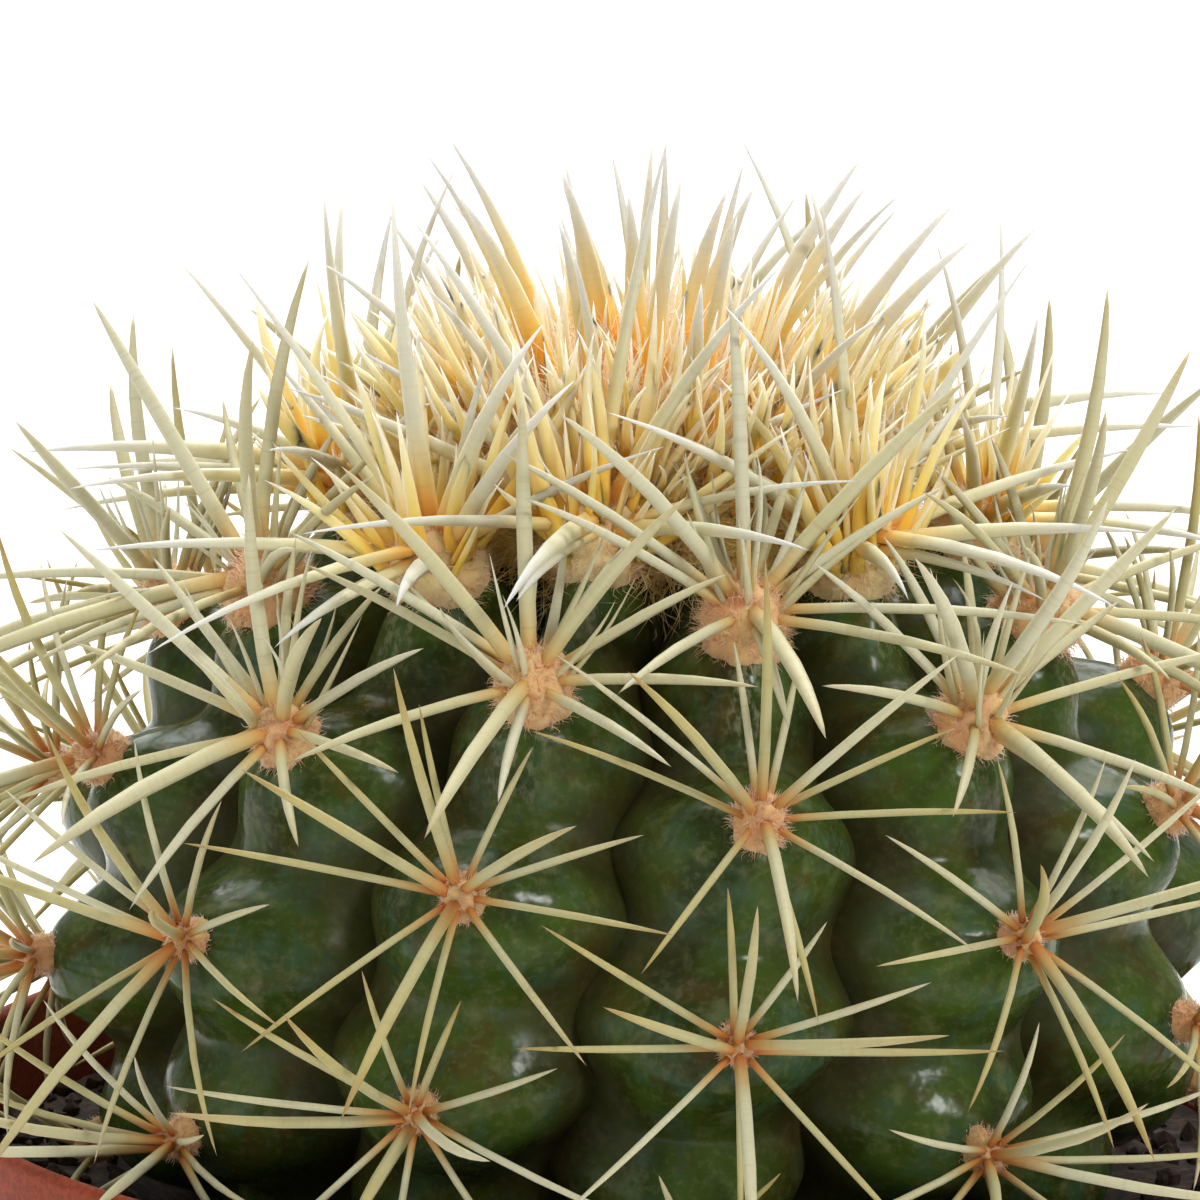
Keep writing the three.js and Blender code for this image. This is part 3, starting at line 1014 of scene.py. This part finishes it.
    def cushion(self, number: int) -> Matrix:
        """The place of a cushion.

        Args:
            number: Its number on the spiral.

        Returns:
            Its place, with X to the right, Y towards the crown and Z outwards.
        """
        azimuth = self.azimuth_of_zero + number * (self.ribs_to_next * self.rib_step + self.twist)
        foot = self.envelope(azimuth, self.latitude_of(number))
        turn = math.radians(azimuth)
        right = Vector((math.cos(turn), math.sin(turn), 0))
        flat, tall = self.radius**2, self.half_height**2
        out = Vector((foot.x / flat, foot.y / flat, (foot.z - self.centre) / tall)).normalized()
        up = out.cross(right)
        place = Matrix((right, up, out)).transposed().to_4x4()
        place.translation = foot
        return place


# ---------------------------------------------------------------- the pot and its soil


@dataclass
class Pot:
    """The round tapered pot, with a collar round its mouth and drain holes in its floor."""

    wall: float = 1.0 * MM
    collar_height: float = 9.0 * MM
    collar_step: float = 1.7 * MM
    base_radius: float = 30.5 * MM
    base_bevel: float = 1.2 * MM
    floor: float = 1.8 * MM
    rounding: float = 0.22 * MM
    sides: int = 128
    drains: int = 8
    drain_radius: float = 3.4 * MM
    drain_ring: float = 21 * MM
    drain_sides: int = 40
    finish: MouldedPlastic = field(default_factory=MouldedPlastic)

    def __post_init__(self) -> None:
        """Takes the height and the rim's radius from the construction node."""
        _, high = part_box("pot")
        self.height = high.z
        self.rim_radius = high.x

    @property
    def collar_bottom(self) -> float:
        """The height where the collar starts."""
        return self.height - self.collar_height

    def inner_radius(self, height: float) -> float:
        """The shell's inner radius.

        Args:
            height: The height where it is wanted.

        Returns:
            The radius there.
        """
        if height > self.collar_bottom:
            return self.rim_radius - self.wall
        top = self.rim_radius - self.collar_step
        return mix(self.base_radius, top, height / self.collar_bottom) - self.wall

    def profile(self) -> list[tuple[float, float]]:
        """The rings of the shell.

        Returns:
            The radius and height of each, from the underside's edge over the lip to the floor.
        """
        wall_top = self.rim_radius - self.collar_step
        lip = self.wall / 2
        return [
            (self.base_radius - self.base_bevel, 0),
            (self.base_radius, self.base_bevel),
            (wall_top, self.collar_bottom),
            (self.rim_radius, self.collar_bottom),
            (self.rim_radius, self.height - lip),
            (self.rim_radius - lip, self.height),
            (self.rim_radius - self.wall, self.height - lip),
            (self.rim_radius - self.wall, self.collar_bottom + self.wall),
            (wall_top - self.wall, self.collar_bottom),
            (self.inner_radius(self.floor), self.floor),
        ]

    def build(self) -> None:
        """Makes the shell, rounds its edges and drills its drains."""
        shell = turn_profile("pot_shell", self.profile(), self.sides)
        limit = math.radians(20)
        apply_modifier(
            shell, "BEVEL", width=self.rounding, segments=2, limit_method="ANGLE", angle_limit=limit
        )
        drills = []
        for drain in range(self.drains):
            turn = 2 * math.pi * (drain + 0.5) / self.drains
            pick_nothing()
            bpy.ops.mesh.primitive_cylinder_add(
                vertices=self.drain_sides,
                radius=self.drain_radius,
                depth=4 * self.floor,
                location=(self.drain_ring * math.cos(turn), self.drain_ring * math.sin(turn), 0),
            )
            drills.append(bpy.context.object)
        drill = join("drill", *drills)
        apply_modifier(shell, "BOOLEAN", operation="DIFFERENCE", object=drill, solver="EXACT")
        bpy.data.objects.remove(drill)
        smooth_edges(shell, 30)
        deliver(shell, self.finish, "pot")


@dataclass
class Soil:
    """The soil in the pot, with a crumbly top and a plain hole for the body."""

    pot: Pot
    form: Form
    gap: float = 0.3 * MM
    depth_below_rim: float = 5.8 * MM
    lump: float = 0.45 * MM
    lump_spread: float = 2.4 * MM
    bands: int = 9
    sides: int = 96
    crumbs: int = 700
    smallest_crumb: float = 0.2 * MM
    crumb_growth: float = 0.9 * MM
    seed: int = 77
    foot_latitude: float = -58
    finish: PottingSoil = field(default_factory=PottingSoil)

    @property
    def top(self) -> float:
        """The height of its surface."""
        return self.pot.height - self.depth_below_rim

    def hole_radius(self, height: float) -> float:
        """The radius of the body's hole at a height."""
        share = (height - self.form.centre) / self.form.half_height
        return self.form.radius * math.sqrt(1 - share * share) + self.gap

    def build(self) -> None:
        """Makes the filling, roughens its top and strews crumbs on it."""
        bottom = self.pot.floor + self.gap
        shoulder = self.pot.collar_bottom - self.gap
        ledge = self.pot.collar_bottom + self.pot.wall + self.gap
        outer = self.pot.inner_radius(self.top) - self.gap
        inner = self.hole_radius(self.top)
        foot = self.form.envelope(0, self.foot_latitude).z - self.gap
        profile = [
            (self.pot.inner_radius(bottom) - self.gap, bottom),
            (self.pot.inner_radius(shoulder) - self.gap, shoulder),
            (self.pot.inner_radius(shoulder) - self.gap, ledge),
            (outer, ledge + self.gap),
            (outer, self.top - self.lump),
        ]
        profile += [(mix(outer, inner, band / self.bands), self.top) for band in range(1, self.bands)]
        profile += [(inner, self.top - self.lump), (self.hole_radius(foot + self.gap), foot)]
        filling = turn_profile("soil_filling", profile, self.sides)
        with editing(filling) as mesh:
            for face in mesh.faces:
                middle = face.calc_center_median()
                between = inner < math.hypot(middle.x, middle.y) < outer
                face.select_set(between and middle.z > self.top - 2 * self.lump)
            bpy.ops.mesh.subdivide(number_cuts=3)
        points = points_of(filling)
        for point in points:
            if point[2] > self.top - 1.2 * self.lump:
                point[2] += self.roughness(Vector(point))
        move_points(filling, points)
        smooth_edges(filling, 60)
        filling = join("soil_filling", filling, self.strew(inner, outer))
        deliver(filling, self.finish, "soil")

    def roughness(self, place: Vector) -> float:
        """How far the surface rises at a place."""
        return self.lump * (noise.fractal(place / self.lump_spread, 0.7, 2.0, 4) * 0.8 - 0.2)

    def strew(self, inner: float, outer: float) -> bpy.types.Object:
        """Strews crumbs between two radii.

        Args:
            inner: The radius where they start.
            outer: The radius where they end.

        Returns:
            The crumbs, in one mesh.
        """
        pick_nothing()
        bpy.ops.mesh.primitive_ico_sphere_add(subdivisions=1, radius=1, location=(0, 0, 0))
        model = bpy.context.object
        shape = points_of(model)
        faces = [list(face.vertices) for face in model.data.polygons]
        bpy.data.objects.remove(model)
        draw = np.random.default_rng(self.seed)
        places: list[np.ndarray] = []
        corners: list[list[int]] = []
        for crumb in range(self.crumbs):
            turn = draw.uniform(0, 2 * math.pi)
            reach = math.sqrt(draw.uniform((inner + MM) ** 2, (outer - MM) ** 2))
            size = draw.uniform(0.25, 1.0) ** 2 * self.crumb_growth + self.smallest_crumb
            spot = Vector((reach * math.sin(turn), -reach * math.cos(turn), self.top))
            spot.z += self.roughness(spot) + 0.2 * size
            grown = shape * draw.uniform(0.7, 1.25, shape.shape) * size * draw.uniform(0.6, 1.2, 3)
            places.append(grown + np.array(spot))
            corners += [[corner + crumb * len(shape) for corner in face] for face in faces]
        mesh = bpy.data.meshes.new("crumbs")
        mesh.from_pydata(np.concatenate(places).tolist(), [], corners)
        piece = bpy.data.objects.new("crumbs", mesh)
        bpy.context.scene.collection.objects.link(piece)
        return piece


# ---------------------------------------------------------------- the body


@dataclass
class Body:
    """The ribbed body, one skin from its foot in the soil to its top under the wool."""

    GROOVE = "groove"
    SCURF = "scurf"

    form: Form
    steps_across_rib: int = 26
    rows: int = 250
    foot_latitude: float = -58
    broad_swell: tuple[float, float] = (7 * MM, 0.25 * MM)
    small_swell: tuple[float, float] = (2.6 * MM, 0.09 * MM)
    finish: WaxySkin = field(default_factory=WaxySkin)

    def build(self) -> None:
        """Makes a sphere, cuts its foot flat and gives it the ribs."""
        pick_nothing()
        bpy.ops.mesh.primitive_uv_sphere_add(
            segments=self.form.ribs * self.steps_across_rib, ring_count=self.rows, radius=1
        )
        body = bpy.context.object
        body.name = "body_skin"
        with editing(body):
            bpy.ops.mesh.select_all(action="SELECT")
            foot = math.sin(math.radians(self.foot_latitude))
            bpy.ops.mesh.bisect(
                plane_co=(0, 0, foot), plane_no=(0, 0, 1), use_fill=True, clear_inner=True
            )
        points = points_of(body)
        grooves = np.zeros(len(points), np.float32)
        scurfs = np.zeros(len(points), np.float32)
        for index, (x, y, z) in enumerate(points):
            latitude = math.degrees(math.asin(max(-1.0, min(1.0, z / math.sqrt(x * x + y * y + z * z)))))
            phase = math.degrees(math.atan2(x, -y)) / self.form.rib_step
            place, grooves[index], scurfs[index] = self.form.skin(phase, latitude)
            points[index] = place + self.unevenness(place)
        move_points(body, points)
        for name, values in ((self.GROOVE, grooves), (self.SCURF, scurfs)):
            body.data.attributes.new(name, "FLOAT", "POINT").data.foreach_set("value", values)
        smooth_edges(body, 50)
        deliver(body, self.finish, "cactus_body")

    def unevenness(self, place: Vector) -> Vector:
        """The small swellings of the skin.

        Args:
            place: A place on it.

        Returns:
            How it moves there.
        """
        out = (place - Vector((0, 0, self.form.centre))).normalized()
        swells = (self.broad_swell, self.small_swell)
        return out * sum(noise.noise(place / spread) * height for spread, height in swells)


# ---------------------------------------------------------------- spines and wool


@dataclass(frozen=True)
class Needle:
    """A spine as the construction has it, with its outer half width at the middle."""

    root: Vector
    middle: Vector
    tip: Vector
    radius: float


def read_needles(node: bpy.types.Object, collar: float = 0.0) -> list[Needle]:
    """Finds the spines of a construction node by their tips.

    Args:
        node: The node.
        collar: The length of the collar that its spines stand on.

    Returns:
        Its spines.
    """
    longest_fold = 1.8 * MM
    mesh = bmesh.new()
    mesh.from_mesh(node.data)
    bmesh.ops.remove_doubles(mesh, verts=mesh.verts, dist=0.001 * MM)
    needles = []
    for tip in mesh.verts:
        if len(tip.link_edges) > 4 or min(edge.calc_length() for edge in tip.link_edges) < longest_fold:
            continue
        ring = {edge.other_vert(tip) for edge in tip.link_edges}
        foot = {edge.other_vert(corner) for corner in ring for edge in corner.link_edges} - ring - {tip}
        middle = sum((corner.co for corner in ring), Vector()) / len(ring)
        root = sum((corner.co for corner in foot), Vector()) / len(foot)
        radius = max((corner.co - middle).length for corner in ring)
        root -= collar * (tip.co - root).normalized()
        needles.append(Needle(root, middle, tip.co.copy(), radius))
    mesh.free()
    return needles


def axes_of(needles: list[Needle], sunk: float) -> tuple[np.ndarray, np.ndarray]:
    """The spines' axes and half widths as rows.

    Args:
        needles: The spines.
        sunk: How far their roots are pushed into the wool.

    Returns:
        Each spine's root, middle and tip, and the half widths.
    """
    axes = np.array([[needle.root, needle.middle, needle.tip] for needle in needles])
    axes[:, 0] -= sunk * unit(axes[:, 1] - axes[:, 0])
    return axes, np.array([needle.radius for needle in needles])


def unit(vectors: np.ndarray) -> np.ndarray:
    """Each row made one long."""
    return vectors / np.linalg.norm(vectors, axis=-1, keepdims=True)


def turned(axes: np.ndarray, place: Matrix) -> np.ndarray:
    """Axes moved from a cushion's own directions to the plant's."""
    return axes @ np.array(place.to_3x3()).T + np.array(place.translation)


def bent_axes(
    roots: np.ndarray, leans: np.ndarray, lengths: np.ndarray, bend: float, draw: np.random.Generator
) -> np.ndarray:
    """Axes from their roots, each bent at its middle.

    Args:
        roots: Where they start.
        leans: Their directions.
        lengths: Their lengths.
        bend: How far they bend, as a share of their length.
        draw: The draws for the bends.

    Returns:
        Each axis's root, middle and tip.
    """
    reaches = lengths[:, None] * leans
    middles = roots + 0.5 * reaches + lengths[:, None] * draw.normal(0, bend, roots.shape)
    return np.stack([roots, middles, roots + reaches], axis=1)


@dataclass(frozen=True)
class Growth:
    """How hairs or bristles stand on a dome."""

    lowest: float  # the lowest root, as a share of the dome's height
    stray: float  # how far their directions stray from the dome's own
    rise: float = 0.0  # how much they lean towards the dome's axis
    depth: float = 0.08  # how deep they are rooted, as a share of the dome's size

    def scatter(
        self, count: int, radii: np.ndarray, draw: np.random.Generator
    ) -> tuple[np.ndarray, np.ndarray]:
        """Scatters roots over a dome, with a direction for each.

        Args:
            count: How many there are.
            radii: The dome's half widths and its height.
            draw: The draws.

        Returns:
            The roots and the directions.
        """
        turn = draw.uniform(0, 2 * math.pi, count)
        level = draw.uniform(self.lowest, 1, count)
        reach = np.sqrt(1 - level**2)
        outward = np.stack([reach * np.cos(turn), reach * np.sin(turn), level], axis=1)
        leans = outward + (0, 0, self.rise) + draw.normal(0, self.stray, (count, 3))
        return outward * radii * (1 - self.depth), unit(leans)


@dataclass
class Felt:
    """Tufts of wool: lumpy felted domes with loose hairs."""

    hair: Strand
    hair_width: float
    growth: Growth = Growth(lowest=-0.5, stray=0.6)
    bend: float = 0.15
    length_shares: tuple[float, float] = (0.3, 1.0)
    width_shares: tuple[float, float] = (0.7, 1.3)
    hem: float = -0.7
    coarse_lump: float = 0.16
    coarse_rate: float = 1.8
    fine_lump: float = 0.12
    fine_rate: float = 4.5
    shade: tuple[float, float] = (0.5, 0.4)

    def tuft(
        self,
        name: str,
        place: Matrix,
        radii: np.ndarray,
        count: int,
        longest: float,
        draw: np.random.Generator,
    ) -> bpy.types.Object:
        """Makes one tuft.

        Args:
            name: The new piece's name.
            place: Where its foot is, with its Z outwards.
            radii: Its half widths and its height.
            count: How many loose hairs it has.
            longest: The length of the longest hair.
            draw: The draws for the hairs.

        Returns:
            The tuft, in one mesh.
        """
        lengths = draw.uniform(*self.length_shares, count) * longest
        roots, leans = self.growth.scatter(count, radii, draw)
        axes = turned(bent_axes(roots, leans, lengths, self.bend, draw), place)
        widths = draw.uniform(*self.width_shares, count) * self.hair_width
        hairs = self.hair.lay("hairs", axes, widths, draw.uniform(0, 1, count))
        return join(name, self.dome(place, radii), hairs)

    def dome(self, place: Matrix, radii: np.ndarray) -> bpy.types.Object:
        """Makes the lumpy dome.

        Args:
            place: Where its foot is, with its Z outwards.
            radii: Its half widths and its height.

        Returns:
            The dome, with one place on the hairs' map all over.
        """
        pick_nothing()
        bpy.ops.mesh.primitive_ico_sphere_add(subdivisions=4, radius=1)
        dome = bpy.context.object
        with editing(dome):
            bpy.ops.mesh.select_all(action="SELECT")
            bpy.ops.mesh.bisect(
                plane_co=(0, 0, self.hem), plane_no=(0, 0, 1), use_fill=True, clear_inner=True
            )
        points = points_of(dome)
        for index, point in enumerate(points):
            spot = Vector(point) + place.translation / MM
            lump = 1 + self.coarse_lump * noise.noise(spot * self.coarse_rate)
            lump += self.fine_lump * noise.noise(spot * self.fine_rate)
            points[index] = place @ Vector(point * radii * lump)
        move_points(dome, points)
        layer = dome.data.uv_layers.active or dome.data.uv_layers.new()
        layer.name = Strand.UV_MAP
        flat = np.tile(np.array(self.shade, np.float32), len(dome.data.loops))
        layer.uv.foreach_set("vector", flat)
        dome.data.shade_smooth()
        return dome


@dataclass
class Clusters:
    """The cushions on the spiral, each with its wool and its spines.

    The two ranges of latitude are those over which the wool and the bristles of a cushion pass from the
    old ones' sizes to the young ones'. Widths of bristles are shares of their length.
    """

    form: Form
    nodes: dict[str, bpy.types.Object]
    needles: dict[Age, Strand]
    hair: Strand
    shares: dict[Age, float] = field(
        default_factory=lambda: {Age.OLD: 0.62, Age.MIDDLE: 0.88, Age.YOUNG: 1.25}
    )
    widest: float = 0.5 * MM
    sunk: float = 0.5 * MM
    wool_range: tuple[float, float] = (5, 64)
    old_radius: float = 1.2 * MM
    young_radius: float = 3.1 * MM
    narrowness: float = 0.84
    old_height: float = 2.0 * MM
    young_height: float = 3.4 * MM
    old_hairs: int = 800
    young_hairs: int = 1700
    old_hair: float = 0.65 * MM
    young_hair: float = 1.4 * MM
    hair_width: float = 0.028 * MM
    bristle_range: tuple[float, float] = (50, 62)
    bristles: Growth = Growth(lowest=0.1, stray=0.25, rise=0.7)
    crownward: float = 0.6
    least_bristles: int = 12
    most_bristles: int = 46
    shortest_bristle: float = 6.0
    longest_bristles: tuple[float, float] = (11.0, 14.0)
    slimmest: float = 0.022
    stoutest: tuple[float, float] = (0.032, 0.05)
    bend: float = 0.05
    hue_spreads: tuple[float, float] = (1.0, 0.6)
    first_seed: int = 900

    def build(self) -> None:
        """Makes the spines and the wool of every cushion."""
        felt = Felt(self.hair, self.hair_width)
        names = sorted(name for name in self.nodes if name.startswith("spine_cluster_"))
        for label, name in enumerate(names):
            number = self.form.first + label
            draw = np.random.default_rng(self.first_seed + label)
            mark = name.removeprefix("spine_cluster_")
            age = self.form.age_of(number)
            axes, radii = axes_of(read_needles(self.nodes[name]), self.sunk)
            widths = np.minimum(self.widest, radii * self.shares[age])
            hues = draw.uniform(0, 1, len(axes))
            spines = self.needles[age].lay("spines_" + mark, axes, widths, hues)
            deliver(spines, HORNS[age], name)
            if age is not Age.OLD:
                horn = BRISTLE_HORN if age is Age.YOUNG else HORNS[age]
                deliver(self.grow_bristles("bristles_" + mark, number, draw), horn, name)
            deliver(self.grow_wool("cushion_wool_" + mark, number, felt, draw), WOOLS[age], name)

    def grow_bristles(self, name: str, number: int, draw: np.random.Generator) -> bpy.types.Object:
        """Grows the short thin spines between the others, which lean towards the crown.

        Args:
            name: The new piece's name.
            number: The cushion's number on the spiral.
            draw: The draws.

        Returns:
            The short spines, in one mesh.
        """
        youth = ease(*self.bristle_range, self.form.latitude_of(number))
        count = round(mix(self.least_bristles, self.most_bristles, youth))
        radius = mix(self.old_radius, self.young_radius, youth)
        roots, leans = self.bristles.scatter(count, np.array([radius, radius, self.old_height]), draw)
        leans = unit(leans + (0, self.crownward, 0))
        lengths = draw.uniform(self.shortest_bristle, mix(*self.longest_bristles, youth), count) * MM
        widths = lengths * draw.uniform(self.slimmest, mix(*self.stoutest, youth), count)
        axes = turned(bent_axes(roots, leans, lengths, self.bend, draw), self.form.cushion(number))
        hues = draw.uniform(0, mix(*self.hue_spreads, youth), count)
        return self.needles[Age.YOUNG].lay(name, axes, widths, hues)

    def grow_wool(
        self, name: str, number: int, felt: Felt, draw: np.random.Generator
    ) -> bpy.types.Object:
        """Grows the wool of one cushion.

        Args:
            name: The new piece's name.
            number: The cushion's number on the spiral.
            felt: The kind of wool.
            draw: The draws for the hairs.

        Returns:
            The wool, in one mesh.
        """
        youth = ease(*self.wool_range, self.form.latitude_of(number))
        radius = mix(self.old_radius, self.young_radius, youth)
        height = mix(self.old_height, self.young_height, youth)
        radii = np.array([radius * self.narrowness, radius, height])
        count = round(mix(self.old_hairs, self.young_hairs, youth))
        longest = mix(self.old_hair, self.young_hair, youth)
        return felt.tuft(name, self.form.cushion(number), radii, count, longest, draw)


@dataclass
class Crown:
    """The mound of wool over the growing point, with the spines that stand in it."""

    form: Form
    nodes: dict[str, bpy.types.Object]
    needle: Strand
    hair: Strand
    radius: float = 13.8 * MM
    height: float = 7.6 * MM
    sink: float = 2.3 * MM
    collar: float = 0.9 * MM
    sunk: float = 0.6 * MM
    share: float = 1.15
    hairs: int = 12000
    hair_length: float = 7.0 * MM
    hair_width: float = 0.04 * MM
    bristles: int = 460
    growth: Growth = Growth(lowest=0.1, stray=0.25, rise=0.8)
    inner_length: float = 7.0 * MM
    outer_gain: float = 6.0 * MM
    slimmest: float = 0.022
    stoutest: float = 0.05
    bend: float = 0.045
    middle_paleness: float = 1.1
    paleness_spread: float = 0.3
    seed: int = 5

    @property
    def place(self) -> Matrix:
        """The place of the mound's foot."""
        return Matrix.Translation(self.form.envelope(0, 90) - Vector((0, 0, self.sink)))

    @property
    def radii(self) -> np.ndarray:
        """The mound's half widths and its height."""
        return np.array([self.radius, self.radius, self.height])

    def build(self) -> None:
        """Makes the grown spines, the young ones and the mound."""
        draw = np.random.default_rng(self.seed)
        axes, widths = axes_of(read_needles(self.nodes["crown"], self.collar), self.sunk)
        hues = draw.uniform(0, 1, len(axes))
        grown = self.needle.lay("crown_spines", axes, widths * self.share, hues)
        deliver(grown, CROWN_HORN, "crown")
        deliver(self.grow_bristles(draw), BRISTLE_HORN, "crown")
        felt = Felt(self.hair, self.hair_width)
        mound = felt.tuft("crown_wool", self.place, self.radii, self.hairs, self.hair_length, draw)
        deliver(mound, CROWN_WOOL, "crown")

    def grow_bristles(self, draw: np.random.Generator) -> bpy.types.Object:
        """Grows the young spines, the paler the nearer they stand to the middle.

        Args:
            draw: The draws.

        Returns:
            The young spines, in one mesh.
        """
        count = self.bristles
        roots, leans = self.growth.scatter(count, self.radii, draw)
        reach = np.linalg.norm(roots[:, :2], axis=1) / self.radius
        lengths = draw.uniform(0.5, 1.0, count) * (self.inner_length + self.outer_gain * reach)
        widths = lengths * draw.uniform(self.slimmest, self.stoutest, count)
        axes = turned(bent_axes(roots, leans, lengths, self.bend, draw), self.place)
        strays = draw.uniform(-self.paleness_spread, self.paleness_spread, count)
        paleness = np.clip(self.middle_paleness - reach + strays, 0, 1)
        return self.needle.lay("crown_bristles", axes, widths, paleness)


# ---------------------------------------------------------------- the studio


@dataclass(frozen=True)
class Softbox:
    """A square soft light."""

    name: str
    place: tuple[float, float, float]
    aim: tuple[float, float, float]
    size: float
    watts: float

    def build(self) -> None:
        """Hangs the light and turns it to what it lights."""
        lamp = bpy.data.lights.new(self.name, "AREA")
        lamp.size = self.size
        lamp.energy = self.watts
        light = bpy.data.objects.new(self.name, lamp)
        light.location = self.place
        way = Vector(self.aim) - Vector(self.place)
        light.rotation_euler = way.to_track_quat("-Z", "Y").to_euler()
        bpy.context.scene.collection.objects.link(light)


@dataclass
class Studio:
    """A pale floor, soft lights and the camera."""

    PLANT = (0, 0, 100 * MM)

    aim: tuple[float, float, float] = (-2.54 * MM, 3.77 * MM, 104.0 * MM)
    distance: float = 613.7 * MM
    pitch: float = 11.33
    roll: float = 1.38
    frame_size: int = 1200
    focal_pixels: float = 10113
    sensor: float = 36.0
    floor_side: float = 8.0
    sky: float = 0.4
    lights: tuple[Softbox, ...] = (
        Softbox("window", (0.42, -0.5, 0.62), PLANT, 0.15, 3.4),
        Softbox("overhead", (0.0, 0.3, 0.85), PLANT, 0.6, 3.7),
        Softbox("fill", (-0.9, -0.6, 0.3), PLANT, 0.9, 2.8),
        Softbox("backdrop", (0, 1.5, 1.3), (0, 1.2, 0), 1.8, 45.0),
    )

    def build(self) -> None:
        """Sets the camera, the floor and the light."""
        self.set_camera()
        self.set_floor()
        self.set_sky()
        for light in self.lights:
            light.build()
        bpy.context.scene.view_settings.view_transform = "Standard"

    def set_camera(self) -> None:
        """Places the camera at the photograph's viewing angle."""
        lens = bpy.data.cameras.new("camera")
        lens.sensor_width = self.sensor
        lens.lens = self.sensor * self.focal_pixels / self.frame_size
        lens.clip_end = 20
        camera = bpy.data.objects.new("camera", lens)
        down = math.radians(self.pitch)
        back = Vector((0, -math.cos(down), math.sin(down))) * self.distance
        camera.location = Vector(self.aim) + back
        tilt = Matrix.Rotation(math.pi / 2 - down, 4, "X")
        roll = Matrix.Rotation(math.radians(self.roll), 4, "Z")
        camera.rotation_euler = (tilt @ roll).to_euler()
        bpy.context.scene.collection.objects.link(camera)
        bpy.context.scene.camera = camera

    def set_floor(self) -> None:
        """Lays the pale floor."""
        pick_nothing()
        bpy.ops.mesh.primitive_plane_add(size=self.floor_side, location=(0, 0, 0))
        floor = bpy.context.object
        floor.name = "floor"
        shader = Shader("pale_floor")
        floor.data.materials.append(shader.finish(base_color=paint(244, 244, 244), roughness=0.9))

    def set_sky(self) -> None:
        """Gives the studio its even light."""
        world = bpy.data.worlds.new("studio")
        world.use_nodes = True
        background = world.node_tree.nodes["Background"]
        background.inputs["Color"].default_value = (1, 1, 1, 1)
        background.inputs["Strength"].default_value = self.sky
        bpy.context.scene.world = world


# ---------------------------------------------------------------- the whole


def main() -> None:
    """Builds the pot, the soil, the plant and the studio, and logs how many points each piece has."""
    logging.basicConfig(level=logging.INFO, format="%(message)s")
    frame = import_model()
    form = Form()
    pot = Pot()
    pot.build()
    Soil(pot, form).build()
    Body(form).build()
    slim = Strand("slim_needle", 6, SLIM)
    broad = Strand("broad_needle", 6, BROAD, thickness=0.6)
    hair = Strand("hair", 3, HAIR, smooth=False)
    needles = {Age.OLD: slim, Age.MIDDLE: slim, Age.YOUNG: broad}
    Clusters(form, frame["nodes"], needles, hair).build()
    Crown(form, frame["nodes"], broad, hair).build()
    Studio().build()


if __name__ == "__main__":
    main()
